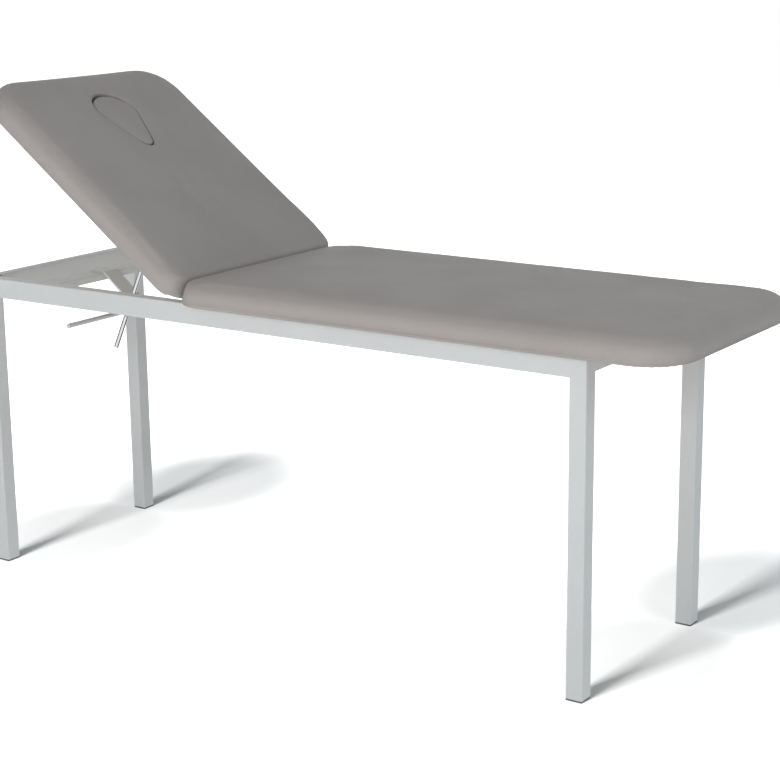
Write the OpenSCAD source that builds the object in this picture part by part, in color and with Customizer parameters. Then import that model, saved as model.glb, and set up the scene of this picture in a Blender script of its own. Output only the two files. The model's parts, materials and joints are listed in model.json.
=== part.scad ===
// Examination table: a welded tube frame on four square legs, a fixed seat cushion,
// and a backrest that hinges up and is held by a rod in a friction lock.
// X runs from the head end to the foot end, Y from the near side to the far side, Z up.
// The origin is on the floor, under the middle of the whole table.

/* [Frame] */
// Length of the steel frame
frame_l = 1736; // [1650:1:1850]
// Width of the steel frame
frame_w = 570; // [540:1:600]
// Height of the frame's top face above the floor
frame_h = 754; // [650:1:850]
// Side of the square leg tube
leg_w = 40; // [35:1:45]
// Width of the rails between the legs, flush with the legs' outer faces
rail_w = 30; // [25:1:34]
// Height of the long rails and of the head rail
rail_h = 50; // [45:1:60]
// Height of the foot rail
foot_rail_h = 40; // [35:1:45]
// Wall of the tubes
tube_wall = 2; // [1.5:0.1:2.5]
// Outer corner radius of the tubes
tube_corner_r = 3; // [2.7:0.1:4]
// Thickness of the flange on the plugs that close the legs at the top
top_plug_t = 2; // [1.5:0.1:3]
// Width of the cross rail behind the hinges
hinge_rail_w = 40; // [30:1:50]
// Height of the cross rail behind the hinges
hinge_rail_h = 30; // [20:1:40]
// Way from the hinge axis to that cross rail
hinge_rail_back = 55; // [54:1:80]

/* [Feet] */
// Thickness of the foot cap under the leg
foot_cap_h = 4; // [3:0.5:8]
// Depth of the plugs inside the leg, at its foot and at its top
foot_plug_h = 25; // [15:1:40]
// Clearance of the plugs in the tube, each side
foot_plug_clear = 0.3; // [0.2:0.05:0.5]

/* [Cushions] */
// Width of both cushions
pad_w = 622; // [610:1:650]
// Thickness of both cushions with their boards
pad_t = 55; // [48:1:65]
// Length of the seat cushion from the hinge axis
seat_l = 1271; // [1200:1:1350]
// Length of the backrest cushion from the hinge axis
back_l = 743; // [715:1:760]
// Plan radius of the corners at the foot and the head
pad_corner_r = 96; // [70:1:110]
// Plan radius of the corners at the hinge
pad_hinge_r = 55; // [40:1:80]
// Radius of the rolled upper edge
edge_roll_r = 21; // [15:1:25]
// Radius of the upper edge at the hinge, where the cushions meet
hinge_roll_r = 9; // [6:0.5:14]
// Rounding of the lower edge
edge_low_r = 7; // [5:0.5:9]
// Rise of the crowned top in the middle
crown_h = 5; // [0:0.5:8]
// How far the sides are drawn in half way up
side_draw = 1.5; // [0:0.1:3]
// How far the straight sides are drawn in between the corners
plan_draw = 1.5; // [0:0.1:3]
// Thickness of the boards
board_t = 15; // [12:1:18]
// Upholstery that wraps the edge of a board
wrap_t = 9; // [8:0.5:12]
// Clearance round each board and between the cushions at the hinge
pad_clear = 0.4; // [0.3:0.05:0.8]

/* [Face hole] */
// Radius of the wide end of the face plug
face_big_r = 62; // [50:1:70]
// Radius of the narrow end of the face plug
face_small_r = 20; // [16:1:24]
// Way from the hinge axis to the centre of the wide end
face_big_at = 590; // [570:1:600]
// Way from the hinge axis to the centre of the narrow end
face_small_at = 475; // [460:1:490]
// Gap between the plug and the cushion
plug_gap = 3; // [2:0.5:5]
// Ledge of the board that the plug rests on
plug_ledge = 11; // [8:0.5:14]
// Thickness of the plug's own board
plug_board_t = 6; // [4:0.5:8]
// How far the plug stands out of the cushion
plug_proud = 1.5; // [0:0.5:4]

/* [Backrest] */
// Way from the head end of the frame to the hinge axis
hinge_from_head = 663; // [650:1:690]
// Angle of the backrest above level
back_angle = 36.8; // [0:0.1:40]
// Highest angle of the backrest
back_max = 40; // [40:0.5:50]
// Gap between the level backrest and the frame
rest_gap = 0.5; // [0.3:0.1:2]
// Length of each hinge along its pin
hinge_l = 70; // [60:1:90]
// Way from the inner face of each long rail to the middle of its hinge
hinge_from_rail = 75; // [50:1:90]
// Outer radius of the hinge knuckles
knuckle_r = 5.5; // [5:0.1:6.5]
// Radius of the hinge pins
hinge_pin_r = 3; // [2.5:0.1:3.4]
// Thickness of the hinge leaves
leaf_t = 2.5; // [2:0.1:3]
// Length of the hinge leaves from the pin
leaf_l = 46; // [44:1:52]

/* [Support rod] */
// Radius of the rod
rod_r = 6; // [5:0.1:7]
// Lean of the rod from upright
rod_lean = 24.9; // [23:0.1:27]
// Length of the rod below the hole in its bracket, with the backrest at rod_set_angle
rod_tail = 157; // [140:1:200]
// Backrest angle at which that length and the pin's height are set
rod_set_angle = 36.8; // [30:0.1:40]
// Radius of the eye at the rod's top
rod_eye_r = 10; // [9:0.5:12]
// Width of the eye along its pin
rod_eye_w = 11; // [9:0.5:14]
// Radius of the pin in the rod's eye
eye_pin_r = 4; // [3.5:0.1:4.5]
// Way from the underside of the backrest board to the pin
pin_drop = 22; // [20:1:28]
// Thickness of the slotted brackets
slide_plate_t = 3; // [2.5:0.1:4]
// Width of the foot of each slotted bracket
slide_foot_w = 22; // [20:1:30]
// Steel left round the slot
slot_land = 9; // [7:0.5:14]
// Side gap between the eye and each bracket
eye_side_gap = 1; // [0.6:0.1:2]

/* [Rod lock] */
// Width of the cross bar that carries the lock
lock_bar_w = 50; // [40:1:60]
// Height of that cross bar
lock_bar_h = 18; // [15:1:22]
// Wall of that cross bar
lock_bar_wall = 1.5; // [1.2:0.1:2]
// Way from the head end of the frame to the near edge of that cross bar
lock_bar_at = 133; // [125:1:150]
// How far that cross bar lies below the frame's top
lock_bar_drop = 17; // [14:1:20]
// Width of the bent plate on the cross bar
lock_plate_w = 50; // [44:1:60]
// Thickness of the bent plate
lock_plate_t = 5; // [4:0.5:6]
// Slope of the bent plate below level
lock_plate_slope = 39; // [36:0.5:42]
// Way down the slope from the bend to the rod
rod_hole_along = 95.5; // [90:0.5:105]
// Plate left beyond the rod
lock_plate_tail = 24; // [20:1:30]
// Width of the lock housing across the table's width
housing_w = 38; // [36:1:44]
// Half of the housing's inner width
housing_in = 12.5; // [11:0.5:14]
// Wall of the housing
housing_wall = 2.5; // [2:0.1:3]
// Way down the rod from the plate to the housing's upper guide
guide_drop = 9.5; // [9:0.5:11]
// Inner height of the housing between its two guides
housing_h = 40; // [38:0.5:44]
// Thickness of the locking plate
jam_plate_t = 4; // [3:0.5:4.5]
// Tilt of the locking plate when it grips the rod
jam_tilt = 7; // [5:0.5:8]
// Radius of the pins of the lever and of the locking plate
lock_pin_r = 2; // [1.8:0.1:2.2]
// Radius of the barrels round those pins
lock_barrel_r = 4; // [3.8:0.1:4.2]
// Clearance of the locking plate's hole round the rod
jam_hole_clear = 0.7; // [0.6:0.05:1.2]
// Radius of the release lever
lever_r = 6; // [5:0.1:6.5]
// Way from the rod to the lever's free end
lever_reach = 222; // [200:1:235]
// Thickness of the lever's eye plate
lever_eye_t = 5; // [4:0.5:6]
// Radius of the hole in the lever's eye plate
lever_hole_r = 9; // [8.5:0.5:9.5]
// Wire radius of the lock spring
spring_wire_r = 0.8; // [0.6:0.1:1]
// Turns of the lock spring
spring_turns = 6; // [5:1:7]

/* [Fasteners] */
// Radius of the wood screws
screw_r = 2.1; // [1.8:0.1:2.4]
// Radius of the screw heads
screw_head_r = 4.2; // [3.8:0.1:4.6]
// Height of the screw heads
screw_head_h = 2.4; // [2:0.1:3]
// Length of the screw shanks
screw_l = 14; // [13:0.5:15]
// Length and width of the tabs that hold the seat board
tab_w = 30; // [26:1:40]
// Thickness of those tabs
tab_t = 3; // [2:0.1:4]

/* [Hidden] */

$fn = 64;
// Overrun of every cut
over = 1;
// Radial clearance of pins and of the rod in their bores
run_clear = 0.06;
// Radial clearance of screws in their holes
screw_clear = 0.15;
// Gap between neighbouring hinge knuckles
knuckle_gap = 0.4;
// Gap between a moving part of the lock and its neighbour
lock_gap = 0.4;
// Radius of the heads and clips on the pins, over the pin's own radius
pin_head_over = 1.6;
// Thickness of the heads and clips on the pins
pin_head_t = 1.6;
// Gap between the pin in its slot and the slot's edge
slot_clear = 0.35;
// Chamfer at the free ends of the rod and of the lever
end_chamfer = 1;
// Way from a screw's centre to the edge of the plate that it holds
screw_edge = 8;
// Way from the frame's end to the tabs at the foot
tab_from_foot = 140;
// Way from the hinge axis to the tabs at the middle
tab_from_hinge = 210;
// Steps of a cushion's corner, and of its long and short sides
corner_steps = 8;
long_steps = 5;
short_steps = 3;
// Shares of the way in from the rolled edge, for the rings of a cushion's top
crown_shares = [0.22, 0.5, 0.8];
// Shares of the way from the rolled edge to the face hole
hole_shares = [0.35, 0.7, 0.93];
// Share of a cushion's half width that its innermost ring keeps
core_share = 0.15;
// Rounding of the cushion's edge at the face hole
hole_roll = 6;
// Share of a knuckle's radius that a leaf reaches in over it
tongue_share = 0.3;
// Room between a leaf and the other leaf's knuckle
leaf_room = 0.8;
// Radial room of the rod in the bent plate
plate_hole_clear = 1.5;
// Width of the lug on the lever under the locking plate
lug_w = 4;
// Room between the lever's eye plate or the locking plate and each cheek
cheek_gap = 0.5;
// How far the straight sides of the face hole start inside its round ends
tangent_in = 0.1;

overall_l = hinge_from_head + seat_l;
head_x = -overall_l / 2;
hinge_x = head_x + hinge_from_head;
hinge_z = frame_h - knuckle_r;
inner_w = frame_w - 2 * rail_w;
hinge_at_y = inner_w / 2 - hinge_from_rail;

// Height of the board undersides over the hinge axis
seat_lift = knuckle_r;
back_lift = knuckle_r + rest_gap;
// Lean of the cushions' hinge ends, which meet at the highest angle
end_lean = back_max / 2;

// Place of the rod's hole, and the rod's direction, in X and Z
bend_x = head_x + lock_bar_at + lock_bar_w;
bend_z = frame_h - lock_bar_drop + lock_plate_t;
slope_dir = [cos(lock_plate_slope), -sin(lock_plate_slope)];
slope_up = [sin(lock_plate_slope), cos(lock_plate_slope)];
lock_p = [bend_x, bend_z] + slope_dir * rod_hole_along - slope_up * lock_plate_t / 2;
rod_dir = [sin(rod_lean), cos(rod_lean)];
lock_rel = lock_p - [hinge_x, hinge_z];

// The rod slides by a fixed length for each degree of the backrest, and its pin
// keeps within the slot. pin_way gives the pin's place along the rod for the angle a.
pin_line = back_lift - pin_drop;
function up_dir(a) = [sin(a), cos(a)];
function along_dir(a) = [-cos(a), sin(a)];
function pin_true(a) = (pin_line - lock_rel * up_dir(a)) / (rod_dir * up_dir(a));
rod_rate = (pin_true(rod_set_angle) - pin_true(0)) / rod_set_angle;
function pin_way(a) = pin_true(0) + rod_rate * a;
function pin_rel(a) = lock_rel + rod_dir * pin_way(a);
slot_steps = [for (i = [0 : 18]) back_max * i / 18];
slot_along = [for (a = slot_steps) pin_rel(a) * along_dir(a)];
slot_up = [for (a = slot_steps) pin_rel(a) * up_dir(a)];
slot_lo = [min(slot_along), min(slot_up)];
slot_hi = [max(slot_along), max(slot_up)];
slot_mid = (slot_lo + slot_hi) / 2;
slot_end_r = eye_pin_r + slot_clear;
slot_size = slot_hi - slot_lo + [2, 2] * slot_end_r;
slide_in = rod_eye_w / 2 + eye_side_gap;
slide_l = slot_size[0] + 2 * slot_land;
slide_low = slot_lo[1] - slot_end_r - slot_land;
rod_top = pin_way(back_angle);
rod_bottom = rod_top - pin_way(rod_set_angle) - rod_tail;
echo(rod_rate_m_per_rad = rod_rate * 180 / PI / 1000, rod_dir = rod_dir, lock_p = lock_p,
    hinge = [hinge_x, hinge_z], head_x = head_x, slot_size = slot_size, pin_now = rod_top);

// The lock, measured down the rod from its hole
cheek_out = housing_in + housing_wall;
inner_top = -guide_drop;
inner_low = inner_top - housing_h;
housing_low = inner_low - housing_wall;
lever_z = inner_low + lock_barrel_r + lock_gap;
jam_z = lever_z + 2 * lock_barrel_r + lock_gap * 3;
fulcrum_y = housing_w / 2 - lock_barrel_r;
eye_half = housing_in - cheek_gap;
jam_near = -housing_w / 2 + 1.5 * lock_gap;
lug_y = jam_near + lug_w / 2;
lug_top = jam_z - (fulcrum_y - lug_y) * tan(jam_tilt) - jam_plate_t / 2 / cos(jam_tilt);
spring_r = rod_r + spring_wire_r + 2 * lock_gap;
spring_h = inner_top - (jam_z + jam_plate_t / 2) - spring_wire_r * 2 - lock_gap;

// Outline with round corners, centred
module rounded_rect(w, h, r) {
    square([w - 2 * r, h], center = true);
    square([w, h - 2 * r], center = true);
    for (x = [-1, 1], y = [-1, 1])
        translate([x * (w / 2 - r), y * (h / 2 - r)]) circle(r);
}

// Tube of length l along Z
module tube_z(l, w, h, wall) {
    linear_extrude(l) difference() {
        rounded_rect(w, h, tube_corner_r);
        rounded_rect(w - 2 * wall, h - 2 * wall, tube_corner_r - wall);
    }
}

// Long rail along X, on the side s of the middle
module long_rail(s) {
    color("gainsboro")
    translate([head_x + leg_w, s * (frame_w - rail_w) / 2, frame_h - rail_h / 2])
        rotate([90, 0, 90]) tube_z(frame_l - 2 * leg_w, rail_w, rail_h, tube_wall);
}

// Cross tube of length l, x its middle, z its top
module cross_tube(l, x, z, w, h, wall) {
    color("gainsboro")
    translate([x, l / 2, z - h / 2]) rotate([90, 0, 0]) tube_z(l, w, h, wall);
}

module head_rail() {
    cross_tube(frame_w - 2 * leg_w, head_x + rail_w / 2, frame_h, rail_w, rail_h, tube_wall);
}

module foot_rail() {
    cross_tube(frame_w - 2 * leg_w, head_x + frame_l - rail_w / 2, frame_h,
        rail_w, foot_rail_h, tube_wall);
}

module hinge_rail() {
    cross_tube(inner_w, hinge_x + hinge_rail_back + hinge_rail_w / 2, frame_h,
        hinge_rail_w, hinge_rail_h, tube_wall);
}

module lock_cross_bar() {
    cross_tube(inner_w, bend_x - lock_bar_w / 2, frame_h - lock_bar_drop,
        lock_bar_w, lock_bar_h, lock_bar_wall);
}

// Middle of a leg: e is 0 at the head and 1 at the foot, s the side
function leg_mid(e, s) = [head_x + leg_w / 2 + e * (frame_l - leg_w), s * (frame_w - leg_w) / 2];

module leg(e, s) {
    color("gainsboro")
    translate(concat(leg_mid(e, s), foot_cap_h))
        tube_z(frame_h - top_plug_t - foot_cap_h, leg_w, leg_w, tube_wall);
}

// Plug that goes up into a leg, with a flange of thickness t under the leg's end
module leg_plug(t) {
    plug_w = leg_w - 2 * tube_wall - 2 * foot_plug_clear;
    linear_extrude(t) rounded_rect(leg_w, leg_w, tube_corner_r);
    linear_extrude(t + foot_plug_h)
        rounded_rect(plug_w, plug_w, tube_corner_r - tube_wall);
}

module foot_cap(e, s) {
    color("dimgray")
    translate(leg_mid(e, s)) leg_plug(foot_cap_h);
}

module leg_top_plugs() {
    color("dimgray")
    for (e = [0, 1], s = [-1, 1]) translate(concat(leg_mid(e, s), frame_h))
        mirror([0, 0, 1]) leg_plug(top_plug_t);
}

// Screw that points up: its head lies under z = 0 and its shank above
module screw_up() {
    translate([0, 0, -screw_head_h]) cylinder(r = screw_head_r, h = screw_head_h);
    cylinder(r = screw_r, h = screw_l);
}

// Pilot hole for that screw
module screw_hole(depth) {
    translate([0, 0, -over]) cylinder(r = screw_r + screw_clear, h = depth + over);
}

// The tabs at the foot keep under the seat board where that ends before the frame
tab_xs = [hinge_x + tab_from_hinge,
    min(head_x + frame_l, hinge_x + seat_l - pad_corner_r) - tab_from_foot];
function tab_screw(x, s) = [x, s * (inner_w / 2 - tab_w + screw_edge), frame_h - tab_t];

module board_tabs() {
    color("gainsboro")
    for (x = tab_xs, s = [-1, 1]) difference() {
        translate([x - tab_w / 2, s > 0 ? inner_w / 2 - tab_w : -inner_w / 2, frame_h - tab_t])
            cube([tab_w, tab_w, tab_t]);
        translate(tab_screw(x, s)) screw_hole(tab_t + over);
    }
}

module board_tab_screws() {
    color("silver")
    for (x = tab_xs, s = [-1, 1]) translate(tab_screw(x, s)) screw_up();
}

// Plan outline from x0 to x1, w wide, with corner radius r0 at x0 and r1 at x1
module plate_outline(x0, x1, w, r0, r1) {
    translate([x0 + r0, -w / 2]) square([x1 - r1 - x0 - r0, w]);
    translate([x0, r0 - w / 2]) square([r0 + over, w - 2 * r0]);
    translate([x1 - r1 - over, r1 - w / 2]) square([r1 + over, w - 2 * r1]);
    for (s = [-1, 1]) {
        translate([x0 + r0, s * (w / 2 - r0)]) circle(r0);
        translate([x1 - r1, s * (w / 2 - r1)]) circle(r1);
    }
}

// Where the end of a cushion stands at the height z over the hinge axis
function end_at(z) = pad_clear + z * tan(end_lean);

// Board with its underside at z = 0, l the cushion's length and lift the height
// of the underside over the hinge axis
module board(l, lift) {
    x0 = end_at(board_t + lift) + wrap_t;
    linear_extrude(board_t)
        plate_outline(x0, l - wrap_t, pad_w - 2 * wrap_t,
            pad_hinge_r - wrap_t, pad_corner_r - wrap_t);
}

// Points of a round corner, and of a side drawn in by d along dir
function corner_pts(c, r, a) =
    [for (i = [0 : corner_steps]) c + r * [cos(a + 90 * i / corner_steps), sin(a + 90 * i / corner_steps)]];
function side_pts(p, q, steps, dir) =
    [for (i = [1 : steps]) p + (q - p) * i / (steps + 1) + dir * sin(180 * i / (steps + 1))];

// Ring of points round a cushion, anticlockwise from above
function pad_ring(x0, x1, w, r0, r1, d) = concat(
    corner_pts([x1 - r1, w / 2 - r1], r1, 0),
    side_pts([x1 - r1, w / 2], [x0 + r0, w / 2], long_steps, [0, -d]),
    corner_pts([x0 + r0, w / 2 - r0], r0, 90),
    side_pts([x0, w / 2 - r0], [x0, r0 - w / 2], short_steps, [0, 0]),
    corner_pts([x0 + r0, r0 - w / 2], r0, 180),
    side_pts([x0 + r0, -w / 2], [x1 - r1, -w / 2], long_steps, [0, d]),
    corner_pts([x1 - r1, r1 - w / 2], r1, 270),
    side_pts([x1, r1 - w / 2], [x1, w / 2 - r1], short_steps, [-d, 0]));
ring_n = 4 * (corner_steps + 1) + 2 * long_steps + 2 * short_steps;

// How far the hinge end is rounded in at the height z over the underside
function hinge_round(z) =
    let (up = z - pad_t + hinge_roll_r)
    up > 0 ? hinge_roll_r - sqrt(max(0, hinge_roll_r * hinge_roll_r - up * up)) : 0;
// Ring at the height z over the underside, drawn in by t from the outline
function inset_ring(l, lift, t, z) =
    let (least = 2 * edge_roll_r,
        end_in = z < edge_low_r ? t : hinge_round(z) + max(0, t - edge_roll_r))
    pad_ring(end_at(z + lift) + end_in, l - t, pad_w - 2 * t,
        max(pad_hinge_r - t, least), max(pad_corner_r - t, least), plan_draw);
function lift_ring(ring, z) = [for (p = ring) [p[0], p[1], z]];
function crown_z(p, l) =
    let (u = 2 * p[0] / l - 1, v = 2 * p[1] / pad_w)
    pad_t + crown_h * max(0, 1 - u * u) * max(0, 1 - v * v);
function crown_ring(ring, l, low = 0) = [for (p = ring) [p[0], p[1], crown_z(p, l) - low]];

// Rings from the board's edge under the cushion, round the side, to the end of the top roll
function side_rings(l, lift) =
    let (board_ring = pad_ring(end_at(board_t + lift) + wrap_t - pad_clear,
            l - wrap_t + pad_clear, pad_w - 2 * (wrap_t - pad_clear),
            pad_hinge_r - wrap_t + pad_clear, pad_corner_r - wrap_t + pad_clear, 0),
        roll_z = pad_t - edge_roll_r,
        mid_z = (edge_low_r + roll_z) / 2)
    concat(
        [lift_ring(board_ring, board_t + pad_clear), lift_ring(board_ring, 0)],
        [for (a = [0, 45, 90])
            let (t = edge_low_r * (1 - sin(a)), z = edge_low_r * (1 - cos(a)))
            lift_ring(inset_ring(l, lift, t, z), z)],
        [lift_ring(inset_ring(l, lift, side_draw, mid_z), mid_z)],
        [for (a = [0, 22.5, 45, 67.5])
            let (t = edge_roll_r * (1 - cos(a)), z = roll_z + edge_roll_r * sin(a))
            lift_ring(inset_ring(l, lift, t, z), z)],
        [crown_ring(inset_ring(l, lift, edge_roll_r, pad_t), l)]);

// Triangles between ring k and the next, of n points each, in m rings
function band(k, next, n) = [for (i = [0 : n - 1]) each
    let (a = k * n + i, b = k * n + (i + 1) % n, c = next * n + i, d = next * n + (i + 1) % n)
    [[a, c, d], [a, d, b]]];

// Solid whose skin runs through the rings and closes at a first and a last point
module capped_skin(rings, first, last) {
    n = len(rings[0]);
    m = len(rings);
    points = concat([for (r = rings) each r], [first, last]);
    faces = concat([for (k = [0 : m - 2]) each band(k, k + 1, n)],
        [for (i = [0 : n - 1]) [m * n, i, (i + 1) % n]],
        [for (i = [0 : n - 1]) [(m - 1) * n + i, m * n + 1, (m - 1) * n + (i + 1) % n]]);
    polyhedron(points, faces, convexity = 4);
}

// Solid whose skin runs through the rings and comes back to the first one
module looped_skin(rings) {
    n = len(rings[0]);
    m = len(rings);
    polyhedron([for (r = rings) each r],
        [for (k = [0 : m - 1]) each band(k, (k + 1) % m, n)], convexity = 6);
}

module seat_board() {
    color("burlywood")
    difference() {
        translate([hinge_x, 0, frame_h]) board(seat_l, seat_lift);
        for (p = seat_screws) translate(p) screw_hole(screw_l + over);
    }
}

module seat_cushion() {
    l = seat_l;
    reach = pad_w / 2 * (1 - core_share) - edge_roll_r;
    rings = concat(side_rings(l, seat_lift), [for (s = crown_shares)
        crown_ring(inset_ring(l, seat_lift, edge_roll_r + s * reach, pad_t), l)]);
    color("dimgray")
    translate([hinge_x, 0, frame_h])
        capped_skin(rings, [l / 2, 0, board_t + pad_clear], [l / 2, 0, pad_t + crown_h]);
}

// Teardrop of the face hole, grown by g: wide at the head end, narrow at the hinge end
face_dist = face_big_at - face_small_at;
face_turn = acos(-(face_big_r - face_small_r) / face_dist);
module face_outline(g) {
    translate([face_big_at, 0]) circle(face_big_r + g);
    translate([face_small_at, 0]) circle(face_small_r + g);
    big = face_big_r + g - tangent_in;
    small = face_small_r + g - tangent_in;
    polygon([for (c = [[face_big_at, big, 1], [face_small_at, small, 1],
            [face_small_at, small, -1], [face_big_at, big, -1]])
        [c[0] + c[1] * cos(face_turn), c[2] * c[1] * sin(face_turn)]]);
}
function face_pt(a, g) = cos(a) > cos(face_turn)
    ? [face_big_at + (face_big_r + g) * cos(a), (face_big_r + g) * sin(a)]
    : [face_small_at + (face_small_r + g) * cos(a), (face_small_r + g) * sin(a)];
function face_ring(g) =
    [for (i = [0 : ring_n - 1]) face_pt(360 * (i + (short_steps + 1) / 2) / ring_n, g)];
function mix_rings(p, q, s) = [for (i = [0 : len(p) - 1]) p[i] + (q[i] - p[i]) * s];

// What lies on the backrest: from the hinge axis, X towards the head and Z away from it
module on_backrest() {
    translate([hinge_x, 0, hinge_z]) rotate([0, back_angle, 0]) mirror([1, 0, 0]) children();
}

module backrest_board() {
    color("burlywood")
    on_backrest() difference() {
        translate([0, 0, back_lift]) board(back_l, back_lift);
        translate([0, 0, back_lift - over]) linear_extrude(board_t + 2 * over)
            face_outline(-plug_ledge);
        for (p = back_screws) translate(p) screw_hole(screw_l + over);
    }
}

module backrest_cushion() {
    l = back_l;
    outer = side_rings(l, back_lift);
    edge = inset_ring(l, back_lift, edge_roll_r, pad_t);
    hole = face_ring(plug_gap);
    lip = face_ring(plug_gap + hole_roll);
    rings = concat(outer,
        [for (s = hole_shares) crown_ring(mix_rings(edge, lip, s), l)],
        [crown_ring(lip, l), crown_ring(face_ring(plug_gap + hole_roll / 4), l, hole_roll / 4),
            crown_ring(hole, l, hole_roll), lift_ring(hole, board_t + pad_clear)]);
    color("dimgray")
    on_backrest() translate([0, 0, back_lift]) looped_skin(rings);
}

module face_plug_board() {
    color("burlywood")
    on_backrest() translate([0, 0, back_lift + board_t + pad_clear])
        linear_extrude(plug_board_t) face_outline(-wrap_t / 2);
}

module face_plug_cushion() {
    l = back_l;
    low = board_t + pad_clear;
    bed = low + plug_board_t + pad_clear;
    mid = [(face_big_at + face_small_at) / 2, 0];
    mid_z = crown_z(mid, l) + plug_proud;
    board_ring = face_ring(pad_clear - wrap_t / 2);
    rings = concat(
        [lift_ring(board_ring, bed), lift_ring(board_ring, low),
            lift_ring(face_ring(-hole_roll / 4), low),
            lift_ring(face_ring(0), low + hole_roll / 2)],
        [for (s = [[0, 1], [0.3, 0.3], [1, 0]])
            crown_ring(face_ring(-hole_roll * s[0]), l, hole_roll * s[1])],
        [for (s = [0.4, 0.8])
            let (inner = [for (p = face_ring(-hole_roll)) mid + (p - mid) * (1 - s)])
            crown_ring(inner, l, -plug_proud * s)]);
    color("dimgray")
    on_backrest() translate([0, 0, back_lift])
        capped_skin(rings, concat(mid, bed), concat(mid, mid_z));
}

// Knuckles along Y from y0 to y1 with the leaf of width leaf_l, its face at the height top
module knuckle(y0, y1, top) {
    translate([0, y1, 0]) rotate([90, 0, 0]) cylinder(r = knuckle_r, h = y1 - y0);
    translate([knuckle_r * tongue_share, y0, top - leaf_t])
        cube([knuckle_r + leaf_room + over, y1 - y0, leaf_t]);
}
knuckle_l = hinge_l / 3;
leaf_screw_xs = [end_at(board_t + back_lift) + wrap_t + screw_edge, leaf_l - screw_edge];
function leaf_screw_at(y) = [for (i = [0 : 1], s = [-1, 1])
    [leaf_screw_xs[i], y + s * (hinge_l / 2 - screw_edge - i * screw_edge)]];

// Leaf that reaches along +X; the outer pair of knuckles, or the middle one
module hinge_leaf(outer, top) {
    edge = hinge_l / 2;
    mid = knuckle_l / 2;
    difference() {
        union() {
            translate([knuckle_r + leaf_room, -edge, top - leaf_t])
                cube([leaf_l - knuckle_r - leaf_room, hinge_l, leaf_t]);
            if (outer) {
                knuckle(-edge, -mid - knuckle_gap, top);
                knuckle(mid + knuckle_gap, edge, top);
            } else {
                knuckle(-mid, mid, top);
            }
        }
        translate([0, edge + over, 0]) rotate([90, 0, 0])
            cylinder(r = hinge_pin_r + run_clear, h = hinge_l + 2 * over);
        for (p = leaf_screw_at(0)) translate([p[0], p[1], top - leaf_t]) screw_hole(leaf_t + over);
    }
}

module seat_leaf(s) {
    color("silver")
    translate([hinge_x, s * hinge_at_y, hinge_z]) hinge_leaf(true, seat_lift);
}

module back_leaf(s) {
    color("silver")
    on_backrest() translate([0, s * hinge_at_y, 0]) hinge_leaf(false, back_lift);
}

module hinge_pin(s) {
    color("silver")
    translate([hinge_x, s * hinge_at_y + hinge_l / 2, hinge_z]) rotate([90, 0, 0]) {
        cylinder(r = hinge_pin_r, h = hinge_l);
        for (z = [-pin_head_t, hinge_l]) translate([0, 0, z])
            cylinder(r = hinge_pin_r + pin_head_over, h = pin_head_t);
    }
}

// Screws of the seat: on the tabs, and on the seat leaves. The points lie under the heads
function leaf_screws(dx, s_list, z) = [for (s = s_list, p = leaf_screw_at(s * hinge_at_y))
    [dx + p[0], p[1], z]];
seat_leaf_points = leaf_screws(hinge_x, [-1, 1], frame_h - leaf_t);
seat_screws = concat(seat_leaf_points, [for (x = tab_xs, s = [-1, 1]) tab_screw(x, s)]);
back_leaf_points = leaf_screws(0, [-1, 1], back_lift - leaf_t);

module seat_leaf_screws() {
    color("silver")
    for (p = seat_leaf_points) translate(p) screw_up();
}

module back_leaf_screws() {
    color("silver")
    on_backrest() for (p = back_leaf_points) translate(p) screw_up();
}

// Slotted brackets under the backrest, in which the rod's pin runs
slide_screw_points = [for (e = [-1, 1], s = [-1, 1])
    [slot_mid[0] + e * (slide_l / 2 - screw_edge),
        s * (slide_in + slide_foot_w - screw_edge), back_lift - slide_plate_t]];
back_screws = concat(back_leaf_points, slide_screw_points);

module slide_bracket(s) {
    color("silver")
    on_backrest() difference() {
        union() {
            translate([slot_mid[0] - slide_l / 2, s > 0 ? slide_in : -slide_in - slide_plate_t, slide_low])
                cube([slide_l, slide_plate_t, back_lift - slide_low]);
            translate([slot_mid[0] - slide_l / 2, s > 0 ? slide_in : -slide_in - slide_foot_w,
                    back_lift - slide_plate_t])
                cube([slide_l, slide_foot_w, slide_plate_t]);
        }
        translate([slot_mid[0], s * slide_in + (slide_plate_t + over), slot_mid[1]])
            rotate([90, 0, 0]) linear_extrude(2 * (slide_plate_t + over))
                rounded_rect(slot_size[0], slot_size[1], slot_end_r);
        for (p = slide_screw_points) translate(p) screw_hole(slide_plate_t + over);
    }
}

module slide_bracket_screws() {
    color("silver")
    on_backrest() for (p = slide_screw_points) translate(p) screw_up();
}

// What lies on the rod: Z up along it from its hole in the bent plate
module on_rod() {
    translate([lock_p[0], 0, lock_p[1]]) rotate([0, rod_lean, 0]) children();
}

module support_rod() {
    color("silver")
    on_rod() difference() {
        union() {
            translate([0, 0, rod_bottom + end_chamfer])
                cylinder(r = rod_r, h = rod_top - rod_bottom - end_chamfer);
            translate([0, 0, rod_bottom])
                cylinder(r1 = rod_r - end_chamfer, r2 = rod_r, h = end_chamfer);
            translate([0, rod_eye_w / 2, rod_top]) rotate([90, 0, 0])
                cylinder(r = rod_eye_r, h = rod_eye_w);
        }
        translate([0, rod_eye_w / 2 + over, rod_top]) rotate([90, 0, 0])
            cylinder(r = eye_pin_r + run_clear, h = rod_eye_w + 2 * over);
        for (s = [-1, 1]) translate([-rod_eye_r - over, s > 0 ? rod_eye_w / 2 : -rod_eye_w / 2 - rod_r,
                rod_top - rod_eye_r - over])
            cube([2 * (rod_eye_r + over), rod_r, 2 * (rod_eye_r + over)]);
    }
}

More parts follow.
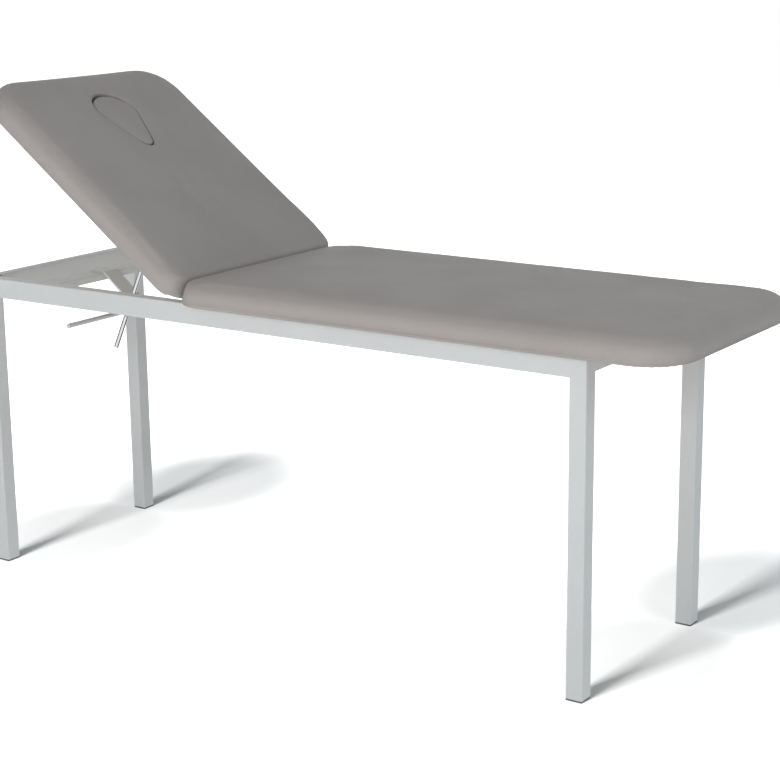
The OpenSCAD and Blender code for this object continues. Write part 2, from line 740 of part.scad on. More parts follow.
eye_pin_half = slide_in + slide_plate_t + eye_side_gap;
module eye_pin() {
    color("silver")
    on_rod() translate([0, eye_pin_half + pin_head_t + over, rod_top]) rotate([90, 0, 0]) {
        cylinder(r = eye_pin_r, h = 2 * eye_pin_half + pin_head_t + over);
        translate([0, 0, 2 * eye_pin_half + pin_head_t + over])
            cylinder(r = eye_pin_r + 2 * pin_head_over, h = pin_head_t);
    }
}

module eye_pin_clip() {
    color("dimgray")
    on_rod() translate([0, eye_pin_half + pin_head_t, rod_top]) rotate([90, 0, 0])
        difference() {
            cylinder(r = eye_pin_r + 2 * pin_head_over, h = pin_head_t);
            translate([0, 0, -over]) cylinder(r = eye_pin_r + run_clear, h = pin_head_t + 2 * over);
        }
}

module lock_bracket() {
    tail = [bend_x, bend_z] + slope_dir * (rod_hole_along + lock_plate_tail);
    down = slope_up * lock_plate_t;
    under = [bend_x, bend_z] + [-tan(lock_plate_slope / 2), -1] * lock_plate_t;
    color("gainsboro")
    difference() {
        translate([0, lock_plate_w / 2, 0]) rotate([90, 0, 0]) linear_extrude(lock_plate_w)
            polygon([[bend_x - lock_bar_w, bend_z], [bend_x, bend_z], tail, tail - down,
                under, [bend_x - lock_bar_w, bend_z - lock_plate_t]]);
        on_rod() translate([0, 0, -rod_hole_along]) cylinder(r = rod_r + plate_hole_clear,
            h = 2 * rod_hole_along);
    }
}

// Height of the bent plate's underside over the rod's hole, at x across the rod
plate_turn = lock_plate_slope - rod_lean;
function plate_under(x) = -x * tan(plate_turn) - lock_plate_t / 2 / cos(plate_turn);

module lock_housing() {
    color("gainsboro")
    on_rod() difference() {
        translate([0, housing_w / 2, 0]) rotate([90, 0, 0]) linear_extrude(housing_w)
            difference() {
                polygon([[-cheek_out, housing_low], [cheek_out, housing_low],
                    [cheek_out, plate_under(cheek_out)], [-cheek_out, plate_under(-cheek_out)]]);
                translate([-housing_in, inner_low]) square([2 * housing_in, housing_h]);
                translate([-housing_in, inner_top + housing_wall])
                    square([2 * housing_in, guide_drop]);
            }
        translate([0, 0, housing_low - over])
            cylinder(r = rod_r + run_clear, h = housing_h + guide_drop + housing_wall + over);
        for (z = [lever_z, jam_z]) translate([-cheek_out - over, fulcrum_y, z]) rotate([0, 90, 0])
            cylinder(r = lock_pin_r + run_clear, h = 2 * (cheek_out + over));
    }
}

// Pin across the housing at the height z
module lock_pin(z) {
    color("silver")
    on_rod() translate([-cheek_out - pin_head_t, fulcrum_y, z]) rotate([0, 90, 0]) {
        cylinder(r = lock_pin_r, h = 2 * cheek_out + pin_head_t * 2);
        for (h = [0, 2 * cheek_out + pin_head_t]) translate([0, 0, h])
            cylinder(r = lock_pin_r + pin_head_over / 2, h = pin_head_t);
    }
}

// Plate that turns on a lock pin: its barrel, its hole for the rod and its thickness t.
// The pin lies at the origin, and the plate reaches down Y by reach
module pinned_plate(reach, t, hole_r) {
    difference() {
        union() {
            translate([-eye_half, -reach, -t / 2]) cube([2 * eye_half, reach, t]);
            translate([-eye_half, 0, 0]) rotate([0, 90, 0])
                cylinder(r = lock_barrel_r, h = 2 * eye_half);
        }
        translate([-eye_half - over, 0, 0]) rotate([0, 90, 0])
            cylinder(r = lock_pin_r + run_clear, h = 2 * (eye_half + over));
        translate([0, -fulcrum_y, -t]) cylinder(r = hole_r, h = 2 * t);
    }
}

module locking_plate() {
    color("silver")
    on_rod() translate([0, fulcrum_y, jam_z]) rotate([jam_tilt, 0, 0])
        pinned_plate(fulcrum_y - jam_near, jam_plate_t, rod_r + jam_hole_clear);
}

module release_lever() {
    start = housing_w / 2 + 2 * lock_gap;
    color("lightgray")
    on_rod() {
        translate([0, fulcrum_y, lever_z])
            pinned_plate(fulcrum_y + start + lever_r, lever_eye_t, lever_hole_r);
        translate([-eye_half, lug_y - lug_w / 2, lever_z])
            cube([2 * eye_half, lug_w, lug_top - lock_gap - lever_z]);
        translate([0, -start, lever_z]) rotate([90, 0, 0]) {
            cylinder(r = lever_r, h = lever_reach - start - end_chamfer);
            translate([0, 0, lever_reach - start - end_chamfer])
                cylinder(r1 = lever_r, r2 = lever_r - end_chamfer, h = end_chamfer);
        }
    }
}

// Spring over the locking plate: one wire wound in spring_turns turns round the rod
spring_sides = 6;
spring_rings = 10;
module lock_spring() {
    n = spring_turns * spring_rings;
    base = jam_z + jam_plate_t / 2 + lock_gap + spring_wire_r;
    rise = spring_h / n;
    ring = [for (k = [0 : n]) let (a = 360 * k / spring_rings)
        [for (i = [0 : spring_sides - 1]) let (b = 360 * i / spring_sides,
                r = spring_r + spring_wire_r * cos(b))
            [r * cos(a), r * sin(a), base + rise * k + spring_wire_r * sin(b)]]];
    points = [for (r = ring) each r];
    faces = concat(
        [for (k = [0 : n - 1], i = [0 : spring_sides - 1]) each
            let (a = k * spring_sides + i, b = k * spring_sides + (i + 1) % spring_sides)
            [[a, b, b + spring_sides], [a, b + spring_sides, a + spring_sides]]],
        [for (i = [1 : spring_sides - 2]) [0, i + 1, i]],
        [for (i = [1 : spring_sides - 2])
            [n * spring_sides, n * spring_sides + i, n * spring_sides + i + 1]]);
    color("silver")
    on_rod() polyhedron(points, faces, convexity = 8);
}

long_rail(-1);  // near_rail
long_rail(1);  // far_rail
head_rail();
foot_rail();
hinge_rail();
lock_cross_bar();
leg_top_plugs();
leg(0, -1);  // near_head_leg
leg(0, 1);  // far_head_leg
leg(1, -1);  // near_foot_leg
leg(1, 1);  // far_foot_leg
foot_cap(0, -1);  // near_head_foot_cap
foot_cap(0, 1);  // far_head_foot_cap
foot_cap(1, -1);  // near_foot_foot_cap
foot_cap(1, 1);  // far_foot_foot_cap
board_tabs();
board_tab_screws();
seat_board();
seat_cushion();
seat_leaf(-1);  // near_hinge_seat_leaf
seat_leaf(1);  // far_hinge_seat_leaf
seat_leaf_screws();
hinge_pin(-1);  // near_hinge_pin
hinge_pin(1);  // far_hinge_pin
back_leaf(-1);  // near_hinge_back_leaf
back_leaf(1);  // far_hinge_back_leaf
back_leaf_screws();
backrest_board();
backrest_cushion();
face_plug_board();
face_plug_cushion();
slide_bracket(-1);  // near_slide_bracket
slide_bracket(1);  // far_slide_bracket
slide_bracket_screws();
support_rod();
eye_pin();
eye_pin_clip();
lock_bracket();
lock_housing();
lock_pin(lever_z);  // lever_pin
lock_pin(jam_z);  // locking_plate_pin
locking_plate();
lock_spring();
release_lever();
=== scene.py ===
"""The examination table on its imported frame: painted steel, vinyl cushions and a plain studio."""

import json
import math

import bmesh
import bpy
import numpy as np
from bpy.props import FloatProperty, FloatVectorProperty, IntProperty, PointerProperty
from mathutils import Matrix, Vector
from mathutils.bvhtree import BVHTree


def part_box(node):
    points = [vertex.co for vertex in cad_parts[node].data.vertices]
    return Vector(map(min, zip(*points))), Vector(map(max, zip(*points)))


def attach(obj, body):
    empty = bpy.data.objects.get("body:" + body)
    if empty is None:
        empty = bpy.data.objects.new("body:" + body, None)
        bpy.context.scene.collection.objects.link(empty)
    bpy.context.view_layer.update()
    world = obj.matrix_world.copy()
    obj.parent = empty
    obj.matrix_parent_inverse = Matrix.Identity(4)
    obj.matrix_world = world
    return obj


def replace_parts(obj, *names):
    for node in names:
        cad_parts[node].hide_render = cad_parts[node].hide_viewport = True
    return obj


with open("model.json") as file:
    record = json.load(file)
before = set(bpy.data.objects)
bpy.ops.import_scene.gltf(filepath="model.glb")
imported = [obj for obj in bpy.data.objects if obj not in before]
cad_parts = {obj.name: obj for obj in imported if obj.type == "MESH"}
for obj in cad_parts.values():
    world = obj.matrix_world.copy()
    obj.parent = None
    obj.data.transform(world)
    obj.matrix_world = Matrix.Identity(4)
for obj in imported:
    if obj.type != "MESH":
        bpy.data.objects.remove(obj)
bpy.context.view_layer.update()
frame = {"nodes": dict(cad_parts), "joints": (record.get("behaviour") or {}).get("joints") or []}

bl_info = {
    "name": "Examination table",
    "version": (1, 0, 0),
    "blender": (4, 5, 0),
    "location": "View3D > Sidebar > Table",
    "description": "Builds the visible finish of the examination table on its packed frame",
    "category": "Object",
}

MM = 0.001
NODES = frame["nodes"]
JOINTS = {j["name"]: j for j in frame["joints"]}
HINGE = Vector(JOINTS["backrest_hinge"]["pos_m"])
REST_ANGLE = math.radians(-JOINTS["backrest_hinge"]["range_deg"][0])
ROD_AXIS = Vector(JOINTS["rod_slide"]["axis"]).normalized()

# Sizes of the cushions, as the solids have them, in metres
PAD_W, PAD_T = 0.622, 0.055
BACK_L, SEAT_L = 0.743, 1.271
CORNER_R, HINGE_R = 0.096, 0.055
SEAT_LIFT, BACK_LIFT = 0.0055, 0.006
END_GAP, END_LEAN = 0.0004, math.tan(math.radians(20.0))
BOARD_T, PAD_CLEAR = 0.015, 0.0004
LOW_EDGE_R, WRAP_INNER, ROLL_R = 0.007, 0.0095, 0.021
PLUG_GAP = 0.003
FACE_BIG_R, FACE_BIG_AT = 0.062, 0.590
FACE_SMALL_R, FACE_SMALL_AT = 0.020, 0.475
FACE_HEAD = FACE_BIG_AT + FACE_BIG_R

# How the covers differ from the solids, in metres
BED_Z = 0.0012  # height that the ceiling of the board's pocket comes down to
ROLL_IN, ROLL_UP = 0.029, 0.031  # reach of the upper roll, inwards and down
LOW_ROUND = 0.008
SIDE_OUT, SIDE_FALL = 0.013, 0.060  # how far the sides stand out, and the depth where that fades
END_OUT = 0.004  # how much further the end stands out
RIM_DROP = 0.004
CROWN_UP, CROWN_IN = 0.007, 0.040  # height of the crown, and the depth where it rises
PLUG_SWELL, PLUG_LEAN = 0.0028, 0.006
RIM_FILL = 0.6  # share of the roll that is filled where the plug presses on its hole
PLEAT_DEPTH = 0.0009
CLOTH = {
    "quality": 4, "mass": 0.35, "tension_stiffness": 40, "compression_stiffness": 40,
    "shear_stiffness": 10, "bending_stiffness": 4, "use_pressure": True,
}

# Small work under the boards and on the frame, in metres
LAYER_PAIR = 0.0032  # two layers of the plywood
HEM_START, HEM_IN, HEM_W, HEM_T, HEM_TOP = 0.060, 0.0095, 0.015, 0.0008, -0.00004
STAPLE_START, STAPLE_IN, STAPLE_PITCH, STAPLE_HALF = 0.070, 0.018, 0.030, 0.0055
BEAD_LIFT, BEAD_INSET, PLATE_BEAD_LIFT = 0.0005, 0.004, 0.0006
HEAD_T, THREAD_R, CORE_R = 0.0024, 0.0021, 0.0015
HEAD_RINGS, SCREW_SIDES = 9, 32
WIRE_R = 0.0008
CORNERS = ("near_head", "far_head", "near_foot", "far_foot")

# Studio: the camera as solved from the photo, and the floor round the feet
CAMERA_AT = (2.4970, -3.5098, 1.5960)
CAMERA_TURNS = (34.42, 14.02, -0.683)
FLOOR_HALF = 14.0
WHITE = (1, 1, 1, 1)
PALE = (0.61, 0.61, 0.61, 1)
SKY_COLOUR = (0.885, 0.965, 1, 1)
SHADOW_SHIFT = 0.25
SHADOW_SHAPE = (1.0, 0.72, 1.0)
SHADOW_REACH = (0.16, 0.42)

ALONG = Vector((-math.cos(REST_ANGLE), 0.0, math.sin(REST_ANGLE)))
UP = Vector((math.sin(REST_ANGLE), 0.0, math.cos(REST_ANGLE)))


def axes_matrix(origin, x, y, z):
    """Matrix that puts a local point into the frame, from three axes and an origin."""
    m = Matrix((x, y, z)).transposed().to_4x4()
    m.translation = origin
    return m


# Local axes of each cushion: x away from the hinge, z away from the board's underside
SEAT_AXES = axes_matrix(
    HINGE + Vector((0, 0, SEAT_LIFT)), Vector((1, 0, 0)), Vector((0, 1, 0)), Vector((0, 0, 1))
)
BACK_AXES = axes_matrix(HINGE + UP * BACK_LIFT, ALONG, Vector((0, -1, 0)), UP)


class TableFinish(bpy.types.PropertyGroup):
    """Colours and roughness of the finishes"""

    paint: FloatVectorProperty(
        name="Frame paint", description="Colour of the powder coat", subtype="COLOR",
        size=3, min=0, max=1, default=(0.532, 0.539, 0.542),
    )
    vinyl: FloatVectorProperty(
        name="Vinyl", description="Colour of the artificial leather", subtype="COLOR",
        size=3, min=0, max=1, default=(0.352, 0.318, 0.304),
    )
    plastic: FloatVectorProperty(
        name="Foot caps", description="Colour of the foot caps", subtype="COLOR",
        size=3, min=0, max=1, default=(0.050, 0.050, 0.053),
    )
    zinc: FloatVectorProperty(
        name="Zinc plate", description="Colour of the zinc plated steel", subtype="COLOR",
        size=3, min=0, max=1, default=(0.50, 0.50, 0.51),
    )
    chrome: FloatVectorProperty(
        name="Chrome", description="Colour of the rod's chrome plate", subtype="COLOR",
        size=3, min=0, max=1, default=(0.56, 0.56, 0.57),
    )
    wood: FloatVectorProperty(
        name="Plywood", description="Colour of the boards", subtype="COLOR",
        size=3, min=0, max=1, default=(0.55, 0.44, 0.32),
    )
    paint_roughness: FloatProperty(
        name="Paint roughness", description="Roughness of the powder coat", subtype="FACTOR",
        min=0, max=1, default=0.46,
    )
    vinyl_roughness: FloatProperty(
        name="Vinyl roughness", description="Roughness of the artificial leather",
        subtype="FACTOR", min=0, max=1, default=0.56,
    )


class TablePadding(bpy.types.PropertyGroup):
    """How the cushions are filled"""

    voxel: FloatProperty(
        name="Mesh size", description="Edge length of the cushions' mesh", unit="LENGTH",
        min=0.003, max=0.02, default=0.006,
    )
    plug_voxel: FloatProperty(
        name="Plug mesh size", description="Edge length of the face plug's mesh", unit="LENGTH",
        min=0.002, max=0.01, default=0.0032,
    )
    pressure: FloatProperty(
        name="Pressure", description="Pressure of the filling on the cover", min=0, max=20,
        default=4.0,
    )
    steps: IntProperty(
        name="Steps", description="Frames over which the cover settles", min=2, max=60,
        default=20,
    )
    shrink: FloatProperty(
        name="Start inset", description="How much smaller the cushion starts", unit="LENGTH",
        min=0, max=0.01, default=0.0016,
    )
    cap: FloatProperty(
        name="Largest swell", description="How far a point may swell over the solid",
        unit="LENGTH", min=0, max=0.02, default=0.0016,
    )


class TableStudio(bpy.types.PropertyGroup):
    """Lights and camera"""

    key_power: FloatProperty(
        name="Key light", description="Power of the light in front", unit="POWER", min=0,
        max=2000, default=91,
    )
    fill_power: FloatProperty(
        name="Fill light", description="Power of the light at the foot end", unit="POWER",
        min=0, max=2000, default=33,
    )
    sky: FloatProperty(
        name="Sky", description="Strength of the even light all round", min=0, max=2,
        default=0.435,
    )
    floor_power: FloatProperty(
        name="Floor light", description="Power of the light that falls on the floor alone",
        unit="POWER", min=0, max=4000, default=1500,
    )
    floor_bounce: FloatProperty(
        name="Floor bounce", description="Share of its light that the floor throws back",
        subtype="FACTOR", min=0, max=1, default=0.58,
    )
    lens: FloatProperty(
        name="Lens", description="Focal length over the picture's width", unit="CAMERA",
        min=20, max=300, default=85.486,
    )


# ---- node groups and materials

FLOAT = "NodeSocketFloat"
COLOR = "NodeSocketColor"
VECTOR = "NodeSocketVector"


def tree_node(tree, kind, **values):
    """A shader node; in_Scale or at_0 names an input, which takes a value or a socket to link."""
    node = tree.nodes.new("ShaderNode" + kind)
    for key, value in values.items():
        if not key.startswith(("in_", "at_")):
            setattr(node, key, value)
            continue
        label = key[3:]
        socket = node.inputs[int(label) if key.startswith("at_") else label.replace("_", " ")]
        if isinstance(value, bpy.types.NodeSocket):
            tree.links.new(value, socket)
        else:
            socket.default_value = value
    return node


def math_node(tree, operation, *inputs, **values):
    """Result of a sum on its inputs, which are numbers or sockets."""
    values.update({f"at_{i}": value for i, value in enumerate(inputs)})
    return tree_node(tree, "Math", operation=operation, **values).outputs["Value"]


def vector_node(tree, operation, *inputs, out="Vector"):
    """Result of a sum on vectors, which are tuples or sockets."""
    values = {f"at_{i}": value for i, value in enumerate(inputs)}
    return tree_node(tree, "VectorMath", operation=operation, **values).outputs[out]


def range_node(tree, value, **values):
    """A value brought from one range to another."""
    return tree_node(tree, "MapRange", **values, in_Value=value).outputs["Result"]


def mix_node(tree, factor, a, b):
    """A colour between a and b."""
    mix = tree_node(tree, "Mix", data_type="RGBA", in_Factor=factor, in_A=a, in_B=b)
    return mix.outputs["Result"]


def noise_node(tree, place, scale, detail=2.0, out="Fac", **values):
    """Soft noise at a place."""
    noise = tree_node(tree, "TexNoise", in_Vector=place, in_Scale=scale, in_Detail=detail, **values)
    return noise.outputs[out]


def new_group(name, inputs, outputs):
    """An empty shader group with those sockets: (group, given sockets, outgoing sockets)."""
    group = bpy.data.node_groups.new(name, "ShaderNodeTree")
    for label, kind, value in inputs:
        socket = group.interface.new_socket(label, in_out="INPUT", socket_type=kind)
        if value is not None:
            socket.default_value = value
    for label, kind in outputs:
        group.interface.new_socket(label, in_out="OUTPUT", socket_type=kind)
    given, out = group.nodes.new("NodeGroupInput"), group.nodes.new("NodeGroupOutput")
    return group, given.outputs, out.inputs


def mottle_group(name):
    """Two colours in soft patches, and the patch mask."""
    group, given, out = new_group(
        name,
        [("Place", VECTOR, None), ("Scale", FLOAT, 6.0), ("Detail", FLOAT, 4.0),
         ("Colour A", COLOR, (0.5, 0.5, 0.5, 1)), ("Colour B", COLOR, (0.4, 0.4, 0.4, 1))],
        [("Colour", COLOR), ("Mask", FLOAT)],
    )
    noise = noise_node(group, given["Place"], given["Scale"], given["Detail"], in_Roughness=0.6)
    mask = range_node(group, noise, interpolation_type="SMOOTHSTEP", in_From_Min=0.32,
                      in_From_Max=0.68)
    group.links.new(mix_node(group, mask, given["Colour A"], given["Colour B"]), out["Colour"])
    group.links.new(mask, out["Mask"])
    return group


def edge_group(name):
    """Mask that is high along the edges of a hard part."""
    group, given, out = new_group(name, [("Place", VECTOR, None), ("Gain", FLOAT, 6.0)],
                                  [("Mask", FLOAT)])
    bevel = tree_node(group, "Bevel", samples=4, in_Radius=0.0018)
    geometry = tree_node(group, "NewGeometry")
    dot = vector_node(group, "DOT_PRODUCT", bevel.outputs["Normal"], geometry.outputs["Normal"],
                      out="Value")
    gain = math_node(group, "MULTIPLY", math_node(group, "SUBTRACT", 1.0, dot), given["Gain"])
    noise = noise_node(group, given["Place"], 160.0, 3.0)
    group.links.new(math_node(group, "MULTIPLY", gain, noise, use_clamp=True), out["Mask"])
    return group


def grain_group(name):
    """Height of fine pebbles, and a mask of the grooves between them, used to paint shade into the
    grooves.
    """
    group, given, out = new_group(
        name,
        [("Place", VECTOR, None), ("Scale", FLOAT, 700.0), ("Warp", FLOAT, 0.0008)],
        [("Height", FLOAT), ("Painted groove shade", FLOAT)],
    )
    warp = noise_node(group, given["Place"], 240.0, out="Color")
    centred = vector_node(group, "SUBTRACT", warp, (0.5, 0.5, 0.5))
    scaled = tree_node(group, "VectorMath", operation="SCALE", at_0=centred, in_Scale=given["Warp"])
    moved = vector_node(group, "ADD", given["Place"], scaled.outputs["Vector"])
    cells = tree_node(group, "TexVoronoi", feature="DISTANCE_TO_EDGE", in_Vector=moved,
                      in_Scale=given["Scale"])
    rise = range_node(group, cells.outputs["Distance"], interpolation_type="SMOOTHSTEP",
                      in_From_Max=0.22)
    small = math_node(group, "MULTIPLY", noise_node(group, given["Place"], 2600.0), 0.25)
    group.links.new(math_node(group, "ADD", rise, small), out["Height"])
    group.links.new(math_node(group, "SUBTRACT", 1.0, rise), out["Painted groove shade"])
    return group


GROUP_MAKERS = {
    "Soft patches": mottle_group, "Rubbed edges": edge_group, "Pebble grain": grain_group,
}


def place_group(tree, name, **values):
    """A node of the named group, which is made when it is first asked for; gives its outputs."""
    group = bpy.data.node_groups.get(name) or GROUP_MAKERS[name](name)
    return tree_node(tree, "Group", node_tree=group, **values).outputs


def empty_tree(owner):
    """The emptied node tree of a material or a world."""
    owner.use_nodes = True
    owner.node_tree.nodes.clear()
    return owner.node_tree


def new_material(name, **sockets):
    """A material with one Principled shader: (material, tree, shader's inputs, place)."""
    material = bpy.data.materials.new(name)
    tree = empty_tree(material)
    shader = tree_node(tree, "BsdfPrincipled", **sockets)
    tree_node(tree, "OutputMaterial", in_Surface=shader.outputs["BSDF"])
    return material, tree, shader.inputs, tree_node(tree, "TexCoord").outputs["Object"]


def shade(colour, factor):
    return (*[min(1.0, c * factor) for c in colour], 1.0)


def add_patches(tree, shader, place, colour, spread, scale, rough, rough_spread):
    """Soft patches in the colour and the roughness; gives their colour."""
    patches = place_group(tree, "Soft patches", in_Place=place, in_Scale=scale,
                          in_Colour_A=shade(colour, 1 + spread),
                          in_Colour_B=shade(colour, 1 - spread))
    roughness = range_node(tree, patches["Mask"], in_To_Min=rough - rough_spread,
                           in_To_Max=rough + rough_spread)
    tree.links.new(patches["Colour"], shader["Base Color"])
    tree.links.new(roughness, shader["Roughness"])
    return patches["Colour"]


def add_bump(tree, shader, height, distance, strength):
    bump = tree_node(tree, "Bump", in_Strength=strength, in_Distance=distance, in_Height=height)
    tree.links.new(bump.outputs["Normal"], shader["Normal"])


def worn_material(name, colour, patches, rub, gain, **sockets):
    """A hard finish in soft patches, with edges rubbed to rub times its colour."""
    material, tree, shader, place = new_material(name, **sockets)
    patched = add_patches(tree, shader, place, colour, *patches)
    edges = place_group(tree, "Rubbed edges", in_Gain=gain, in_Place=place)
    tree.links.new(mix_node(tree, edges["Mask"], patched, shade(colour, rub)), shader["Base Color"])
    return material, tree, shader, place


def paint_material(name, finish):
    material, tree, shader, place = worn_material(
        name, finish.paint, (0.018, 3.2, finish.paint_roughness, 0.04), 1.12, 2.0, in_IOR=1.48)
    add_bump(tree, shader, noise_node(tree, place, 420.0), 0.00010, 0.55)
    return material


def plastic_material(name, finish):
    material, tree, shader, place = worn_material(
        name, finish.plastic, (0.12, 40.0, 0.55, 0.06), 2.4, 3.0, in_IOR=1.5)
    add_bump(tree, shader, noise_node(tree, place, 1500.0), 0.00012, 0.7)
    return material


def zinc_material(name, finish):
    material, tree, shader, place = worn_material(
        name, finish.zinc, (0.10, 90.0, 0.40, 0.07), 1.35, 3.0, in_Metallic=1.0)
    spangle = tree_node(tree, "TexVoronoi", in_Scale=420.0, in_Vector=place)
    add_bump(tree, shader, spangle.outputs["Distance"], 0.00006, 0.5)
    return material


def vinyl_material(name, finish):
    material, tree, shader, place = new_material(name, in_IOR=1.45, in_Specular_IOR_Level=0.25)
    colour = tuple(finish.vinyl)
    patched = add_patches(tree, shader, place, colour, 0.022, 5.0, finish.vinyl_roughness, 0.035)
    grain = place_group(tree, "Pebble grain", in_Scale=640.0, in_Place=place)
    # Painted shade: the vinyl's colour is darkened towards 0.8 of itself in the grooves between the
    # pebbles.
    crease_shade = math_node(tree, "MULTIPLY", grain["Painted groove shade"], 0.45)
    tree.links.new(mix_node(tree, crease_shade, patched, shade(colour, 0.80)), shader["Base Color"])
    add_bump(tree, shader, grain["Height"], 0.00016, 0.6)
    return material


def chrome_material(name, finish):
    """Bright plate with fine rubs along the rod."""
    material, tree, shader, place = new_material(name, in_Metallic=1.0)
    add_patches(tree, shader, place, finish.chrome, 0.05, 60.0, 0.14, 0.05)
    turned = tree_node(tree, "Mapping", in_Vector=place, in_Scale=(1.0, 1.0, 14.0),
                       in_Rotation=(0, -math.atan2(ROD_AXIS.x, ROD_AXIS.z), 0))
    add_bump(tree, shader, noise_node(tree, turned.outputs["Vector"], 70.0, 5.0), 0.00004, 0.5)
    return material


def wood_material(name, finish, tilt):
    """Plywood whose layers lie level when tilt is 0, or turned by tilt with the backrest."""
    material, tree, shader, place = new_material(name, in_IOR=1.45, in_Roughness=0.72)
    colour = tuple(finish.wood)
    turned = tree_node(tree, "Mapping", vector_type="TEXTURE", in_Vector=place,
                       in_Rotation=(0, tilt, 0)).outputs["Vector"]
    stretched = tree_node(tree, "Mapping", in_Vector=turned, in_Scale=(0.10, 1.0, 0.4))
    figure = noise_node(tree, stretched.outputs["Vector"], 46.0, 8.0, in_Roughness=0.62,
                        in_Distortion=0.8)
    grain = tree_node(tree, "ValToRGB", in_Fac=figure)
    for element, position, factor in zip(grain.color_ramp.elements, (0.34, 0.66), (0.72, 1.22)):
        element.position, element.color = position, shade(colour, factor)
    height = tree_node(tree, "SeparateXYZ", in_Vector=turned).outputs["Z"]
    layer = math_node(tree, "SINE", math_node(tree, "MULTIPLY", height, 2 * math.pi / LAYER_PAIR))
    bands = range_node(tree, layer, in_From_Min=-0.5, in_From_Max=0.5, in_To_Max=0.6)
    normal = tree_node(tree, "NewGeometry").outputs["Normal"]
    upright = vector_node(tree, "DOT_PRODUCT", normal, (math.sin(tilt), 0, math.cos(tilt)),
                          out="Value")
    side = math_node(tree, "LESS_THAN", math_node(tree, "ABSOLUTE", upright), 0.5)
    shown = math_node(tree, "MULTIPLY", side, bands)
    tree.links.new(mix_node(tree, shown, grain.outputs["Color"], shade(colour, 0.40)),
                   shader["Base Color"])
    add_bump(tree, shader, figure, 0.0002, 0.5)
    return material


MATERIAL_MAKERS = {
    "frame_powder_coat": paint_material,
    "grey_vinyl": vinyl_material,
    "foot_plastic": plastic_material,
    "zinc_plate": zinc_material,
    "rod_chrome": chrome_material,
    "seat_plywood": lambda name, finish: wood_material(name, finish, 0.0),
    "backrest_plywood": lambda name, finish: wood_material(name, finish, REST_ANGLE),
}


def material(name):
    """The named finish, made when it is first asked for."""
    found = bpy.data.materials.get(name)
    return found or MATERIAL_MAKERS[name](name, bpy.context.scene.table_finish)


def dress(finish, *nodes):
    """Gives CAD nodes that stay their finish."""
    for node in nodes:
        mesh = NODES[node].data
        mesh.materials.clear()
        mesh.materials.append(material(finish))


# ---- mesh helpers


def placed(name, data):
    """A new object in the scene."""
    obj = bpy.data.objects.new(name, data)
    bpy.context.scene.collection.objects.link(obj)
    return obj


def finish_piece(piece, body, finish, smooth=True):
    """Gives a visible piece its body, slot and finish."""
    piece.data.materials.clear()
    piece.data.materials.append(material(finish))
    if smooth:
        piece.data.shade_smooth()
    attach(piece, body)
    return piece


def mesh_from(name, points, faces):
    mesh = bpy.data.meshes.new(name)
    mesh.from_pydata([tuple(p) for p in points], [], faces)
    mesh.validate()
    mesh.update()
    return mesh


def merged(mesh, dist):
    """The mesh to be worked on, with points closer than dist made one."""
    work = bmesh.new()
    work.from_mesh(mesh)
    bmesh.ops.remove_doubles(work, verts=work.verts, dist=dist)
    return work


def box_of(node):
    return (Vector(corner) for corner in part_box(node))


def strip_faces(base, rows, sides):
    """Faces between rings of points, the first of which begins at base."""
    starts = [(base + row * sides + k, base + row * sides + (k + 1) % sides)
              for row in range(rows - 1) for k in range(sides)]
    return [(a, b, b + sides, a + sides) for a, b in starts]


def closed_strip(base, rows, sides):
    """Faces between rings of points, and one over each end."""
    last = base + (rows - 1) * sides
    ends = [tuple(range(base + sides - 1, base - 1, -1)), tuple(range(last, last + sides))]
    return strip_faces(base, rows, sides) + ends


def tube_mesh(name, paths, radius_at, sides):
    """Round tubes along lists of points; radius_at(i, n) is the radius at point i of n."""
    points, faces = [], []
    for path in paths:
        path = [Vector(p) for p in path]
        faces += closed_strip(len(points), len(path), sides)
        side = None
        for i, p in enumerate(path):
            ahead = path[min(i + 1, len(path) - 1)] - path[max(i - 1, 0)]
            ahead.normalize()
            if side is None:
                side = ahead.orthogonal().normalized()
            side = (side - ahead * side.dot(ahead)).normalized()
            other = ahead.cross(side)
            r = radius_at(i, len(path))
            for k in range(sides):
                a = 2 * math.pi * k / sides
                points.append(p + (side * math.cos(a) + other * math.sin(a)) * r)
    return mesh_from(name, points, faces)


def under_board(x0, length, depth, steps, gap):
    """Open line under a cushion at a depth from its side: along -y, round the far end and back."""
    x0, x1, y1, r = x0 + 0.002, length - CORNER_R, PAD_W / 2 - CORNER_R, CORNER_R - depth
    n, m = max(2, int((x1 - x0) / gap)), max(2, int(2 * y1 / gap))
    turns = [math.pi / 2 * i / steps for i in range(1, steps + 1)]
    line = [(x0 + (x1 - x0) * i / n, -y1 - r) for i in range(n + 1)]
    line += [(x1 + r * math.sin(a), -y1 - r * math.cos(a)) for a in turns]
    line += [(x1 + r, -y1 + 2 * y1 * i / m) for i in range(1, m + 1)]
    line += [(x1 + r * math.cos(a), y1 + r * math.sin(a)) for a in turns]
    return line + [(x1 - (x1 - x0) * i / n, y1 + r) for i in range(1, n + 1)]


# ---- cushions


def box_inset(x, y, x0, x1, half_w, r0, r1):
    """Depth of plan points inside a rectangle with round corners, r0 at x0 and r1 at x1."""
    middle = (x0 + x1) / 2
    r = np.where(x < middle, r0, r1)
    qx = np.abs(x - middle) - (x1 - x0) / 2 + r
    qy = np.abs(y) - half_w + r
    return r - np.hypot(np.maximum(qx, 0), np.maximum(qy, 0)) - np.minimum(np.maximum(qx, qy), 0)


def hole_distance(co):
    """Way of points outside the face hole's teardrop, negative inside it."""
    dist = FACE_BIG_AT - FACE_SMALL_AT
    slope = (FACE_BIG_R - FACE_SMALL_R) / dist
    cosine = math.sqrt(1 - slope * slope)
    px, py = co[:, 0] - FACE_SMALL_AT, np.abs(co[:, 1])
    k = px * cosine + py * slope
    small = np.hypot(px, py) - FACE_SMALL_R
    big = np.hypot(px - dist, py) - FACE_BIG_R
    side = py * cosine - px * slope - FACE_SMALL_R
    return np.where(k < 0, small, np.where(k > dist * cosine, big, side))


